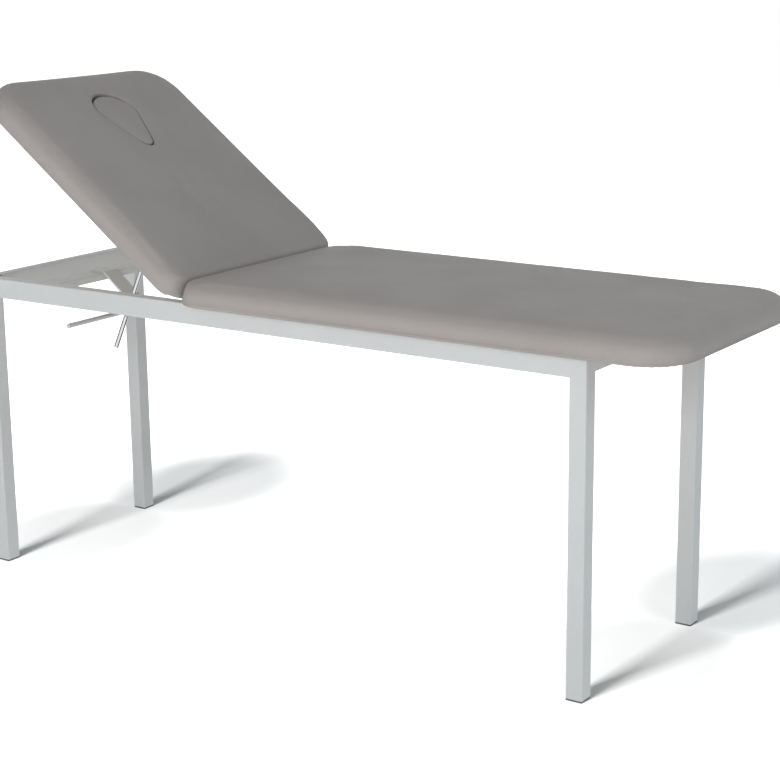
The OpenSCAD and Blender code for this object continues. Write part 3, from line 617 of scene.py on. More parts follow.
def smooth_step(value, low, high):
    t = np.clip((value - low) / (high - low), 0, 1)
    return t * t * (3 - 2 * t)


def read_points(mesh):
    co = np.empty(len(mesh.vertices) * 3)
    mesh.vertices.foreach_get("co", co)
    return co.reshape(-1, 3)


def write_points(mesh, co):
    mesh.vertices.foreach_set("co", np.asarray(co, dtype=float).ravel())
    mesh.update()


def read_normals(mesh):
    no = np.empty(len(mesh.vertices) * 3)
    mesh.vertex_normals.foreach_get("vector", no)
    return no.reshape(-1, 3)


def modified_copy(obj):
    """The object's mesh with its modifiers applied."""
    graph = bpy.context.evaluated_depsgraph_get()
    return bpy.data.meshes.new_from_object(obj.evaluated_get(graph))


def swap_mesh(obj, mesh):
    old = obj.data
    obj.modifiers.clear()
    obj.data = mesh
    bpy.data.meshes.remove(old)


def set_weights(obj, name, weights):
    """A vertex group with each point's weight, in steps of a sixty-fourth."""
    group = obj.vertex_groups.new(name=name)
    levels = np.round(np.clip(weights, 0, 1) * 64).astype(int)
    for level in np.unique(levels):
        if level:
            group.add([int(i) for i in np.nonzero(levels == level)[0]], level / 64, "REPLACE")


def moved_in(co, inset_of, way):
    """Points moved by way towards the middle of the cushion's plan, square to its nearest side."""
    step = 0.0004
    slope = np.zeros_like(co)
    for k in (0, 1):
        ahead, behind = co.copy(), co.copy()
        ahead[:, k] += step
        behind[:, k] -= step
        slope[:, k] = (inset_of(ahead) - inset_of(behind)) / (2 * step)
    size = np.maximum(np.linalg.norm(slope, axis=1), 0.3)
    return co + slope / size[:, None] * way[:, None]


def roll_height(inset, reach, rise):
    """How far a rolled edge lies below the flat top, by the depth from the side."""
    back = 1 - np.clip(inset / reach, 0, 1)
    return rise * (1 - np.sqrt(1 - back ** 2))


def hole_ends(x):
    """1 at the two ends of the face hole, 0 along its sides."""
    return np.maximum(smooth_step(x, FACE_HEAD - 0.045, FACE_HEAD),
                      1 - smooth_step(x, FACE_SMALL_AT - 0.015, 0.50))


def snug_rim(co, distance):
    """Points at the face hole's sides raised, where plug and cushion press on each other."""
    x, y, z = co.T
    near = (1 - smooth_step(distance, 0.003, 0.008)) * smooth_step(z, PAD_T - 0.010, PAD_T - 0.006)
    rise = RIM_FILL * near * (1 - hole_ends(x)) * np.maximum(PAD_T - z, 0)
    return np.column_stack((x, y, z + rise))


def soft_waves(co, size, height):
    """Slow, shallow unevenness of a stretched cover."""
    x, y, z = co.T / size
    wave = (np.sin(1.7 * x + 2.1 * np.sin(0.9 * y + 0.4))
            + np.sin(2.3 * y + 1.3 * np.sin(1.1 * x + 2.0))
            + 0.6 * np.sin(3.9 * x - 2.7 * y + 1.1 + 2.0 * z))
    return wave * height / 2.6


class LongPad:
    """Shape of the seat's and the backrest's cushion, whose points are in the cushion's axes"""

    def __init__(self, length, lift, holed, wave_shift, wave_size):
        self.length, self.lift, self.holed = length, lift, holed
        self.wave_shift, self.wave_size = wave_shift, wave_size

    def end_at(self, z):
        """Place of the leaning hinge end at a height."""
        return END_GAP + (z + self.lift) * END_LEAN

    def from_end(self, co):
        return co[:, 0] - self.end_at(co[:, 2])

    def inset(self, co):
        """Depth of points inside the cushion's plan."""
        x, y, z = co.T
        return box_inset(x, y, self.end_at(z), self.length, PAD_W / 2, HINGE_R, CORNER_R)

    def side_inset(self, co):
        """Depth of points inside the cushion's plan, without its hinge end."""
        return box_inset(co[:, 0], co[:, 1], -1.0, self.length, PAD_W / 2, CORNER_R, CORNER_R)

    def past_hole(self, co):
        """Way of points from the rim of the face hole, or a metre in the seat, which has none."""
        return hole_distance(co) - PLUG_GAP if self.holed else np.ones(len(co))

    def bed(self, co):
        """Points with the ceiling of the board's pocket brought down, so that the foam is full."""
        co = co.copy()
        ceiling = (np.abs(co[:, 2] - BOARD_T - PAD_CLEAR) < 0.0002) & (self.inset(co) > 0.008)
        co[ceiling, 2] = BED_Z
        return co

    def foot(self, co):
        """Points with the cover's narrow lower rim brought right down round the board."""
        x, y, z = co.T
        inset = self.inset(co)
        rim = (z < 0.0045) & (inset > 0.004) & (inset < WRAP_INNER) & (x > 0.02)
        rise = np.clip(LOW_EDGE_R - inset, 0, LOW_EDGE_R)
        profile = LOW_EDGE_R - np.sqrt(LOW_EDGE_R ** 2 - rise ** 2)
        return np.column_stack((x, y, np.where(rim, profile, z)))

    def held(self, co):
        """1 on the underside, round the board, in its pocket and round the face hole, else 0."""
        x, y, z = co.T
        x0 = END_GAP + (z + SEAT_LIFT) * END_LEAN  # the seat's lift serves both cushions here
        inset = box_inset(x, y, x0, self.length, PAD_W / 2, HINGE_R, CORNER_R)
        pocket = (inset > 0.0050) & (z < BOARD_T + 0.010)
        under = 1 - smooth_step(z, 0.002, 0.010)
        end = 1 - smooth_step(x - x0, 0.004, 0.030)
        rim = 1 - smooth_step(self.past_hole(co), 0.004, 0.016)
        return np.maximum.reduce((pocket.astype(float), under, end, rim))

    def top(self, co):
        """1 on the crown, 0 on the rolled edges, below and round the face hole."""
        crown = smooth_step(self.inset(co), 0.018, 0.040) * (co[:, 2] > PAD_T - 0.012)
        return crown * smooth_step(self.past_hole(co), 0.008, 0.024)

    def pleats(self, co):
        """How far the cover is gathered in below the far corners."""
        x, y, z = co.T
        cx, cy = self.length - CORNER_R, PAD_W / 2 - CORNER_R
        around = np.arctan2(np.abs(y) - cy, x - cx)
        in_corner = (x > cx - 0.01) & (np.abs(y) > cy - 0.01)
        low = 1 - smooth_step(z, 0.006, 0.026)
        edge = 1 - smooth_step(self.inset(co), 0.010, 0.020)
        fold = 0.5 - 0.5 * np.cos(around * 36 + 0.6 * np.sin(around * 9 + np.sign(y)))
        fade = np.sin(np.clip(around / (math.pi / 2), 0, 1) * math.pi) ** 0.5
        return np.where(in_corner, PLEAT_DEPTH * fold * low * edge * fade, 0.0)

    def detail(self, co):
        """How far the cover stands out in soft waves and is drawn in by its pleats."""
        top = smooth_step(co[:, 2], 0.020, 0.040) * smooth_step(self.past_hole(co), 0.0, 0.02)
        top = top * smooth_step(self.from_end(co), 0.004, 0.040)
        waves = soft_waves(co + self.wave_shift, self.wave_size, 0.00022)
        return waves * top - self.pleats(co)

    def crown_rise(self, co):
        """How far the foam's crown stands above the solid's flat top."""
        inward = 1 - np.exp(-np.maximum(self.side_inset(co), 0) / CROWN_IN)
        rise = CROWN_UP * inward * smooth_step(co[:, 2], 0.012, PAD_T)
        return rise * smooth_step(self.from_end(co), 0.0, 0.10)

    def raised(self, co, rise):
        """Points raised, and kept on the lean of the hinge end."""
        lean = END_LEAN * (1 - smooth_step(self.from_end(co), 0.03, 0.15))
        return co + np.column_stack((rise * lean, np.zeros_like(rise), rise))

    def finish(self, co):
        """Points with a wide upper roll, a plain round below, full sides and a crown."""
        co = snug_rim(co, self.past_hole(co))
        share = smooth_step(self.from_end(co), 0.010, 0.030)
        inset = self.side_inset(co)
        fall = roll_height(inset, ROLL_R, ROLL_R) - roll_height(inset, ROLL_IN, ROLL_UP)
        co = self.raised(co, fall * smooth_step(co[:, 2], 0.0, PAD_T - ROLL_R))
        inset, z = self.inset(co), co[:, 2]
        rise, back = LOW_ROUND - z, LOW_ROUND - inset
        corner = (rise > 0) & (back > 0)
        ratio = LOW_ROUND / np.maximum(np.hypot(rise, back), 0.0001)
        z = z + np.where(corner, LOW_ROUND - rise * ratio - z, 0) * share
        way = np.where(corner, LOW_ROUND - back * ratio - inset, 0) * share
        co = moved_in(np.column_stack((co[:, 0], co[:, 1], z)), self.inset, way)
        inset, z = self.side_inset(co), co[:, 2]
        rim = (1 - smooth_step(inset, 0.007, 0.011)) * (1 - smooth_step(z, 0.004, 0.026)) * share
        out = SIDE_OUT + END_OUT * smooth_step(co[:, 0], self.length - 0.08, self.length)
        out = out * smooth_step(z, -0.002, 0.010) * np.exp(-np.maximum(inset, 0) / SIDE_FALL)
        co = np.column_stack((co[:, 0], co[:, 1], z - RIM_DROP * rim))
        co = moved_in(co, self.side_inset, -out)
        return self.raised(co, self.crown_rise(co))


SEAT_PAD = LongPad(SEAT_L, SEAT_LIFT, False, 0.0, 0.11)
BACK_PAD = LongPad(BACK_L, BACK_LIFT, True, 0.31, 0.10)


class PlugPad:
    """Shape of the face plug's cushion, in the backrest's axes"""

    def bed(self, co):
        return co

    def foot(self, co):
        return co

    def held(self, co):
        return 1 - smooth_step(co[:, 2], BOARD_T + 0.012, BOARD_T + 0.026)

    def top(self, co):
        return smooth_step(-hole_distance(co), 0.006, 0.016) * (co[:, 2] > PAD_T - 0.012)

    def detail(self, co):
        return soft_waves(co + 0.77, 0.030, 0.00025) * smooth_step(co[:, 2], 0.030, 0.045)

    def finish(self, co):
        """Points swelled against the hole, raised with the crown and a little askew."""
        depth = -hole_distance(co)
        co = snug_rim(co, depth)
        x, y, z = co.T
        share = smooth_step(z, 0.020, 0.034) * (1 - smooth_step(depth, 0.004, 0.018))
        swelled = -PLUG_SWELL * share * (1 - 0.5 * hole_ends(x))
        along = (x - FACE_SMALL_AT) / (FACE_HEAD - FACE_SMALL_AT)
        askew = 0.25 * PLUG_LEAN - PLUG_LEAN * along ** 2 - 0.3 * PLUG_LEAN * y / FACE_BIG_R
        co = moved_in(co, lambda p: -hole_distance(p), swelled)
        rise = BACK_PAD.crown_rise(co) + askew * smooth_step(z, 0.020, 0.050)
        return BACK_PAD.raised(co, rise)


def relax(obj, weights, rounds):
    """Evens the mesh where the weights are 1."""
    set_weights(obj, "soft", weights)
    even = obj.modifiers.new("Even", "SMOOTH")
    even.factor = 0.5
    even.iterations = rounds
    even.vertex_group = "soft"
    swap_mesh(obj, modified_copy(obj))
    obj.vertex_groups.clear()


def swell(obj, held, padding):
    """Blows the cover up as cloth, held where held is 1, and keeps it near the solid's skin."""
    shrink, cap = padding.shrink, padding.cap
    skin = read_points(obj.data)
    normals = read_normals(obj.data)
    free = 1 - held
    write_points(obj.data, skin - normals * (shrink * free)[:, None])
    set_weights(obj, "held", held)
    cloth = obj.modifiers.new("Cover", "CLOTH")
    for key, value in CLOTH.items():
        setattr(cloth.settings, key, value)
    cloth.settings.vertex_group_mass = "held"
    cloth.settings.uniform_pressure_force = padding.pressure
    cloth.settings.effector_weights.gravity = 0
    cloth.collision_settings.use_collision = False
    scene = bpy.context.scene
    scene.frame_start = cloth.point_cache.frame_start = 1
    scene.frame_end = cloth.point_cache.frame_end = padding.steps
    for step in range(1, padding.steps + 1):
        scene.frame_set(step)
    settled = read_points(modified_copy(obj))
    scene.frame_set(1)
    obj.modifiers.clear()
    move = settled - skin
    out = (move * normals).sum(1)
    slide = move - normals * out[:, None]
    out = np.clip(cap * np.tanh(out / cap), -shrink, cap) * free
    slide *= free[:, None] * 0.25
    write_points(obj.data, skin + normals * out[:, None] + slide)


def cushion(name, node, axes, voxel, pad, body):
    """A padded piece made from a cushion's solid: remeshed, blown up and finished."""
    padding = bpy.context.scene.table_padding
    mesh = NODES[node].data.copy()
    mesh.transform(axes.inverted())
    work = merged(mesh, 0.00002)
    work.to_mesh(mesh)
    work.free()
    write_points(mesh, pad.bed(read_points(mesh)))
    skin = BVHTree.FromPolygons([v.co for v in mesh.vertices], [p.vertices for p in mesh.polygons])
    piece = placed(name, mesh)
    remesh = piece.modifiers.new("Even mesh", "REMESH")
    remesh.mode = "VOXEL"
    remesh.voxel_size = voxel * 1.0
    swap_mesh(piece, modified_copy(piece))
    snapped = [tuple(skin.find_nearest(Vector(p))[0]) for p in read_points(piece.data)]
    write_points(piece.data, pad.foot(np.array(snapped)))
    co = read_points(piece.data)
    held = pad.held(co)
    relax(piece, np.minimum(1 - held, smooth_step(co[:, 2], 0.008, 0.016)), 4)
    relax(piece, pad.top(read_points(piece.data)), 30)
    swell(piece, held, padding)
    relax(piece, pad.top(read_points(piece.data)), 16)
    piece.vertex_groups.clear()
    finer = piece.modifiers.new("Finer", "SUBSURF")
    finer.levels = finer.render_levels = 1
    finer.subdivision_type = "CATMULL_CLARK"
    swap_mesh(piece, modified_copy(piece))
    write_points(piece.data, pad.finish(read_points(piece.data)))
    co = read_points(piece.data)
    write_points(piece.data, co + read_normals(piece.data) * pad.detail(co)[:, None])
    piece.data.transform(axes)
    finish_piece(piece, body, "grey_vinyl")
    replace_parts(piece, node)


# ---- hem and staples under the boards


def hem_mesh(name, length, axes):
    """The cover's cut edge, turned in under the board: a thin strip with an uneven inner edge."""
    outer = under_board(HEM_START, length, HEM_IN, 28, 0.006)
    n = len(outer)
    rng = np.random.default_rng(7)
    uneven = np.convolve(rng.normal(0, 0.0022, n + 8), np.ones(9) / 9, "valid")
    points = []
    for i, (x, y) in enumerate(outer):
        (ax, ay), (bx, by) = outer[max(i - 1, 0)], outer[min(i + 1, n - 1)]
        t = Vector((bx - ax, by - ay, 0)).normalized()
        corner = x > length - CORNER_R and abs(y) > PAD_W / 2 - CORNER_R
        ripple = 0.0007 * (0.5 - 0.5 * math.cos(i * 1.35)) if corner else 0.0
        p = Vector((x, y, 0))
        q = p + Vector((-t.y, t.x, 0)) * (HEM_W + uneven[i])
        low = -HEM_T - ripple
        for at, z in ((p, HEM_TOP), (q, HEM_TOP), (q, low), (p, -HEM_T - ripple * 0.4)):
            points.append(axes @ Vector((at.x, at.y, z)))
    return mesh_from(name, points, closed_strip(0, n, 4))


def staple_mesh(name, length, axes):
    """Rows of flat staples that hold the hem."""
    line = under_board(STAPLE_START, length, STAPLE_IN, 40, 0.004)
    foot, top = 0.0004, -0.00135
    half = ((-1, foot), (-1, top * 0.6), (-0.92, top))
    profile = (*half, (0, top), *[(-s, z) for s, z in reversed(half)])
    rng = np.random.default_rng(11)
    paths, way = [], STAPLE_PITCH / 2
    for (ax, ay), (bx, by) in zip(line, line[1:]):
        way += math.hypot(bx - ax, by - ay)
        if way < STAPLE_PITCH:
            continue
        way -= STAPLE_PITCH
        turn = math.atan2(by - ay, bx - ax) + math.radians(rng.uniform(-14, 14))
        c = Vector((bx + rng.uniform(-1, 1) * MM, by + rng.uniform(-1, 1) * MM, 0))
        d = Vector((math.cos(turn), math.sin(turn), 0)) * STAPLE_HALF
        paths.append([axes @ (c + d * s + Vector((0, 0, z))) for s, z in profile])
    return tube_mesh(name, paths, lambda i, n: 0.0005, 6)


# ---- welds, screws and spring


def weld_path(a, b):
    """Points along one straight weld, close enough for its ripples."""
    a, b = Vector(a), Vector(b)
    n = max(6, int((b - a).length / 0.0008))
    return [a.lerp(b, i / n) for i in range(n + 1)]


def ripple(i, n):
    """Radius of a weld bead at point i of n: ripples, and tapered ends."""
    ends = min(1.0, 0.45 + min(i, n - 1 - i) / 5)
    return (0.0017 + 0.00035 * abs(math.sin(i * 0.62))) * ends


def cross_welds(node):
    """Beads round both ends of a cross tube, below and on its sides but a ground outer one."""
    low, high = box_of(node)
    sides = {"head_rail": (high.x + BEAD_LIFT,), "foot_rail": (low.x - BEAD_LIFT,)}
    paths = []
    for at in (low.y + BEAD_LIFT, high.y - BEAD_LIFT):
        for x in sides.get(node, (low.x - BEAD_LIFT, high.x + BEAD_LIFT)):
            paths.append(weld_path((x, at, high.z - BEAD_INSET), (x, at, low.z + BEAD_INSET)))
        paths.append(weld_path((low.x + BEAD_INSET, at, low.z - BEAD_LIFT),
                               (high.x - BEAD_INSET, at, low.z - BEAD_LIFT)))
    return paths


def rail_welds(node):
    """Beads between a long rail's ends and its legs, on the inner side and below."""
    low, high = box_of(node)
    inner = high.y + BEAD_LIFT if abs(high.y) < abs(low.y) else low.y - BEAD_LIFT
    paths = []
    for at in (low.x + BEAD_LIFT, high.x - BEAD_LIFT):
        paths.append(weld_path((at, inner, high.z - BEAD_INSET), (at, inner, low.z + BEAD_INSET)))
        paths.append(weld_path((at, low.y + BEAD_INSET, low.z - BEAD_LIFT),
                               (at, high.y - BEAD_INSET, low.z - BEAD_LIFT)))
    return paths


def plate_welds():
    """Beads that hold the lock's bent plate on its cross bar."""
    low, high = box_of("lock_bracket")
    bar_low, bar_high = box_of("lock_cross_bar")
    top = bar_high.z + PLATE_BEAD_LIFT
    return [weld_path((bar_low.x + 0.004, at, top), (bar_high.x - 0.003, at, top))
            for at in (low.y - PLATE_BEAD_LIFT, high.y + PLATE_BEAD_LIFT)]


def ground_weld_mesh(name):
    """Welds ground flush in the grooves between the rails' ends and the legs' rounded edges."""
    points, faces = [], []
    deep, proud, corner = 0.0029, 0.00012, 0.0032
    for node, run in (("near_rail", 0), ("far_rail", 0), ("head_rail", 1), ("foot_rail", 1)):
        low, high = box_of(node)
        side = 1 - run
        out = -1 if abs(low[side]) > abs(high[side]) else 1
        face = (low[side] if out < 0 else high[side]) + out * proud
        for end, way in ((low[run], -1), (high[run], 1)):
            a, b = Vector((0, 0, low.z + corner)), Vector((0, 0, high.z - corner))
            a[run], b[run] = sorted((end, end + way * deep))
            a[side], b[side] = sorted((face, face - out * deep))
            base = len(points)
            points += [(x, y, z) for x in (a.x, b.x) for y in (a.y, b.y) for z in (a.z, b.z)]
            faces += [tuple(base + k for k in quad) for quad in (
                (0, 1, 3, 2), (4, 6, 7, 5), (0, 4, 5, 1), (2, 3, 7, 6), (0, 2, 6, 4), (1, 5, 7, 3))]
    return mesh_from(name, points, faces)


def loose_parts(mesh):
    """Lists of points, one for each separate solid of a mesh."""
    work = merged(mesh, 0.00001)
    left, parts = set(work.verts), []
    while left:
        stack, found = [left.pop()], []
        while stack:
            v = stack.pop()
            found.append(v.co.copy())
            for e in v.link_edges:
                w = e.other_vert(v)
                if w in left:
                    left.remove(w)
                    stack.append(w)
        parts.append(found)
    work.free()
    return sorted(parts, key=lambda ps: tuple(round(c, 5) for c in sum(ps, Vector()) / len(ps)))


def screw_rows(number, head_r, length):
    """Rings of a screw from its head's middle to its tip, as radius, angle and height."""
    turns_of = [2 * math.pi * i / SCREW_SIDES for i in range(SCREW_SIDES)]
    rows = []
    for k in range(HEAD_RINGS + 1):
        r = head_r * (k / HEAD_RINGS)
        dome = 0.0011 * (r / head_r) ** 2.4
        recess = 0.0011 * (1 - 0.5 * r / head_r) if r < head_r * 0.62 else 0.0
        rows.append([(r, a + number * 0.83, dome + recess * (
            r * min(abs(math.cos(a)), abs(math.sin(a))) < head_r * 0.13)) for a in turns_of])
    for r, z in ((head_r, HEAD_T - 0.0003), (head_r * 0.93, HEAD_T), (THREAD_R, HEAD_T)):
        rows.append([(r, a, z) for a in turns_of])
    steps = int((length - HEAD_T) / 0.0009)
    for k in range(steps + 1):
        z = HEAD_T + (length - HEAD_T) * k / steps
        r = (THREAD_R if k % 2 else CORE_R) * (1 if k < steps - 3 else (steps - k) / 4 + 0.05)
        rows.append([(r, a, min(max(z + 0.0009 * (i / SCREW_SIDES - 0.5), HEAD_T), length))
                     for i, a in enumerate(turns_of)])
    return rows


def screw_mesh(name, node, up):
    """Pan head screws with a cross recess where the solid's plain screws are."""
    points, faces = [], []
    side = up.orthogonal().normalized()
    other = up.cross(side)
    for number, part in enumerate(loose_parts(NODES[node].data)):
        heights = [p.dot(up) for p in part]
        low, high = min(heights), max(heights)
        head = [p for p, h in zip(part, heights) if h < low + 0.0002]
        centre = sum(head, Vector()) / len(head)
        head_r = max((p - centre - up * (p - centre).dot(up)).length for p in head)
        rows = screw_rows(number, head_r, high - low)
        faces += strip_faces(len(points), len(rows), SCREW_SIDES)
        points += [centre + (side * math.cos(a) + other * math.sin(a)) * r + up * z
                   for row in rows for r, a, z in row]
        faces.append(tuple(range(len(points) - SCREW_SIDES, len(points))))
    mesh = mesh_from(name, points, faces)
    work = merged(mesh, 0.000001)
    bmesh.ops.dissolve_degenerate(work, dist=0.000001, edges=work.edges)
    bmesh.ops.recalc_face_normals(work, faces=work.faces)
    work.to_mesh(mesh)
    work.free()
    return mesh


def spring_mesh(name):
    """The lock's spring: round wire in close end turns and open middle turns round the rod."""
    points = read_points(NODES["lock_spring"].data)
    along = points @ np.array(ROD_AXIS)
    low, high = along.min(), along.max()
    body = points[np.abs(along - (low + high) / 2) < (high - low) / 4]
    centre = Vector(body.mean(0))
    centre -= ROD_AXIS * centre.dot(ROD_AXIS)
    flat = points - np.outer(along, ROD_AXIS) - np.array(centre)
    winding = np.linalg.norm(flat, axis=1).max() - WIRE_R
    side = Vector((0, 1, 0))
    other = ROD_AXIS.cross(side)
    turns, per = 6, 36
    low, high = low + WIRE_R, high - WIRE_R
    pitch = 2 * WIRE_R * 1.06
    path = []
    for k in range(turns * per + 1):
        z = np.interp(k / per, (0, 1, turns - 1, turns), (low, low + pitch, high - pitch, high))
        a = 2 * math.pi * k / per
        path.append(centre + ROD_AXIS * z + (side * math.cos(a) + other * math.sin(a)) * winding)
    return tube_mesh(name, [path], lambda i, n: WIRE_R, 12)


# ---- studio


def mirror_ray(tree):
    """1 for rays that metal or glass sends on."""
    paths = tree_node(tree, "LightPath").outputs
    return math_node(tree, "MAXIMUM", paths["Is Glossy Ray"], paths["Is Transmission Ray"])


def camera_ray(tree):
    return tree_node(tree, "LightPath").outputs["Is Camera Ray"]


def mix_shaders(tree, factor, a, b):
    return tree_node(tree, "MixShader", in_Fac=factor, at_1=a, at_2=b).outputs["Shader"]


def make_sky(strength):
    """Even light all round, which the camera, metal and glass see as white."""
    world = bpy.data.worlds.new("studio_sky")
    bpy.context.scene.world = world
    tree = empty_tree(world)
    light = tree_node(tree, "Background", in_Strength=strength, in_Color=SKY_COLOUR)
    white = tree_node(tree, "Background", in_Strength=1.0, in_Color=WHITE)
    seen = math_node(tree, "MAXIMUM", camera_ray(tree), mirror_ray(tree))
    sky = mix_shaders(tree, seen, light.outputs["Background"], white.outputs["Background"])
    tree_node(tree, "OutputWorld", in_Surface=sky)


def away_from_feet(tree):
    """Mask of the floor: 0 round each foot and its shadow, 1 elsewhere."""
    near, far = (sum(box_of(f"{corner}_foot_cap"), Vector()) / 2 for corner in CORNERS[::3])
    middle, half = (near + far) / 2, (far - near) / 2
    place = tree_node(tree, "TexCoord").outputs["Object"]
    shift = vector_node(tree, "SUBTRACT", place, (middle.x, middle.y + SHADOW_SHIFT, 0))
    folded = vector_node(tree, "ABSOLUTE", shift)
    offset = vector_node(tree, "SUBTRACT", folded, (abs(half.x), abs(half.y), 0))
    longer = vector_node(tree, "MULTIPLY", offset, SHADOW_SHAPE)
    length = vector_node(tree, "LENGTH", longer, out="Value")
    return range_node(tree, length, interpolation_type="SMOOTHSTEP", in_From_Min=SHADOW_REACH[0],
                      in_From_Max=SHADOW_REACH[1])


def make_floor(floor_bounce):
    """A pale floor that shows white away from the feet and keeps their shadows."""
    n = 8
    points = [(FLOOR_HALF * (2 * i / n - 1), FLOOR_HALF * (2 * j / n - 1), 0.0)
              for j in range(n + 1) for i in range(n + 1)]
    corners = [j * (n + 1) + i for j in range(n) for i in range(n)]
    mesh = mesh_from("studio_floor", points, [(k, k + 1, k + n + 2, k + n + 1) for k in corners])
    floor = placed("studio_floor", mesh)
    finish = bpy.data.materials.new("studio_floor")
    tree = empty_tree(finish)
    bounce = tree_node(tree, "BsdfDiffuse", in_Color=(*[floor_bounce] * 3, 1))
    pale = tree_node(tree, "BsdfDiffuse", in_Color=PALE)
    lift = tree_node(tree, "Emission", in_Color=WHITE, in_Strength=away_from_feet(tree))
    white = tree_node(tree, "Emission", in_Color=WHITE, in_Strength=1.0)
    shown = tree_node(tree, "AddShader", at_0=pale.outputs["BSDF"], at_1=lift.outputs["Emission"])
    seen = mix_shaders(tree, camera_ray(tree), bounce.outputs["BSDF"], shown.outputs["Shader"])
    mirrored = mix_shaders(tree, mirror_ray(tree), seen, white.outputs["Emission"])
    tree_node(tree, "OutputMaterial", in_Surface=mirrored)
    mesh.materials.append(finish)
    return floor


def make_flags():
    """Dark cards beside and under the table that only its bright metal mirrors; the one under the
    seat is painted shade in those reflections.
    """
    finish = bpy.data.materials.new("studio_flag")
    finish.use_nodes = True
    shader = finish.node_tree.nodes["Principled BSDF"]
    shader.inputs["Base Color"].default_value = (0.02, 0.02, 0.02, 1)
    shader.inputs["Roughness"].default_value = 0.9
    upright = Matrix.Rotation(math.radians(124), 4, "Z") @ Matrix.Rotation(math.radians(90), 4, "X")
    for name, place, turned, w, h in (
        ("flag_head", (-2.7, -1.35, 0.7), upright, 1.7, 1.1),
        # The card under the seat is painted shade: it is seen only by the metal and stands for the
        # shaded floor below the table in the rod's reflection.
        ("floor_shade_card", (-0.36, 0.42, 0.02), Matrix.Identity(4), 0.42, 0.44),
    ):
        turned = Matrix.Translation(place) @ turned
        points = [turned @ Vector((x, y, 0)) for x, y in ((-w, -h), (w, -h), (w, h), (-w, h))]
        mesh = mesh_from(name, points, [(0, 1, 2, 3)])
        mesh.materials.append(finish)
        flag = placed(name, mesh)
        flag.visible_camera = flag.visible_diffuse = flag.visible_shadow = False


def area_light(name, power, size, place, target, colour):
    data = bpy.data.lights.new(name, "AREA")
    data.energy = power
    data.shape = "RECTANGLE"
    data.size, data.size_y = size
    data.color = colour
    light = placed(name, data)
    light.location = place
    light.rotation_euler = (Vector(target) - Vector(place)).to_track_quat("-Z", "Y").to_euler()
    return light


def make_camera(lens):
    """The camera at the photo's angle: turned from +Y to -X, tilted down and rolled."""
    yaw, pitch, roll = (math.radians(a) for a in CAMERA_TURNS)
    right = Vector((math.cos(yaw), math.sin(yaw), 0))
    level = Vector((-math.sin(yaw), math.cos(yaw), 0))
    ahead = level * math.cos(pitch) - Vector((0, 0, math.sin(pitch)))
    up = right.cross(ahead)
    data = bpy.data.cameras.new("camera")
    data.sensor_fit = "HORIZONTAL"
    data.sensor_width = 36.0
    data.lens = lens
    data.clip_end = 100
    camera = placed("camera", data)
    camera.matrix_world = axes_matrix(
        Vector(CAMERA_AT), right * math.cos(roll) + up * math.sin(roll),
        up * math.cos(roll) - right * math.sin(roll), -ahead)
    bpy.context.scene.camera = camera


# ---- operators


class TABLE_OT_stage(bpy.types.Operator):
    """Set up the camera, the floor, the sky and the lights"""

    bl_idname = "table.stage"
    bl_label = "Studio"

    def execute(self, context):
        studio = context.scene.table_studio
        make_camera(studio.lens)
        floor = make_floor(studio.floor_bounce)
        make_sky(studio.sky)
        area_light("key_light", studio.key_power, (1.8, 1.2), (0.9, -5.1, 2.5), (0.0, 0.0, 0.5),
                   (1.0, 0.985, 0.965))
        shadow_light = area_light("floor_light", studio.floor_power, (1.9, 1.9), (-0.35, -7.3, 4.2),
                                  (-0.1, 0.0, 0.0), (1, 1, 1))
        receivers = bpy.data.collections.new("floor_only")
        receivers.objects.link(floor)
        shadow_light.light_linking.receiver_collection = receivers
        area_light("fill_light", studio.fill_power, (2.4, 2.0), (4.1, -0.6, 2.8), (0.0, 0.0, 0.5),
                   (0.84, 0.96, 1.0))
        make_flags()
        context.scene.view_settings.view_transform = "Standard"
        return {"FINISHED"}


class TABLE_OT_steel(bpy.types.Operator):
    """Paint the welded frame, its legs and the lock's plates"""

    bl_idname = "table.steel"
    bl_label = "Painted steel"

    def execute(self, context):
        dress("frame_powder_coat", "near_rail", "far_rail", "head_rail", "foot_rail", "hinge_rail",
              "lock_cross_bar", *[f"{corner}_leg" for corner in CORNERS], "board_tabs",
              "lock_bracket", "lock_housing", "release_lever")
        return {"FINISHED"}


class TABLE_OT_welds(bpy.types.Operator):
    """Lay the weld beads in the frame's inner corners"""

    bl_idname = "table.welds"
    bl_label = "Weld beads"

    def execute(self, context):
        paths = []
        for node in ("head_rail", "foot_rail", "hinge_rail", "lock_cross_bar"):
            paths += cross_welds(node)
        paths += rail_welds("near_rail") + rail_welds("far_rail") + plate_welds()
        for name, mesh, smooth in (
            ("weld_beads", tube_mesh("weld_beads", paths, ripple, 8), True),
            ("ground_welds", ground_weld_mesh("ground_welds"), False),
        ):
            finish_piece(placed(name, mesh), "frame", "frame_powder_coat", smooth)
        return {"FINISHED"}


class TABLE_OT_feet(bpy.types.Operator):
    """Finish the plastic caps below the legs and the plugs in their tops"""

    bl_idname = "table.feet"
    bl_label = "Foot caps"

    def execute(self, context):
        dress("foot_plastic", "leg_top_plugs", *[f"{corner}_foot_cap" for corner in CORNERS])
        return {"FINISHED"}


class TABLE_OT_fittings(bpy.types.Operator):
    """Finish the hinges, brackets, pins and the lock's plate"""

    bl_idname = "table.fittings"
    bl_label = "Hinges and fittings"

    def execute(self, context):
        for side in ("near", "far"):
            dress("zinc_plate", f"{side}_hinge_seat_leaf", f"{side}_hinge_pin",
                  f"{side}_hinge_back_leaf", f"{side}_slide_bracket")
        dress("zinc_plate", "eye_pin", "eye_pin_clip", "lever_pin", "locking_plate_pin",
              "locking_plate")
        dress("rod_chrome", "support_rod")
        return {"FINISHED"}


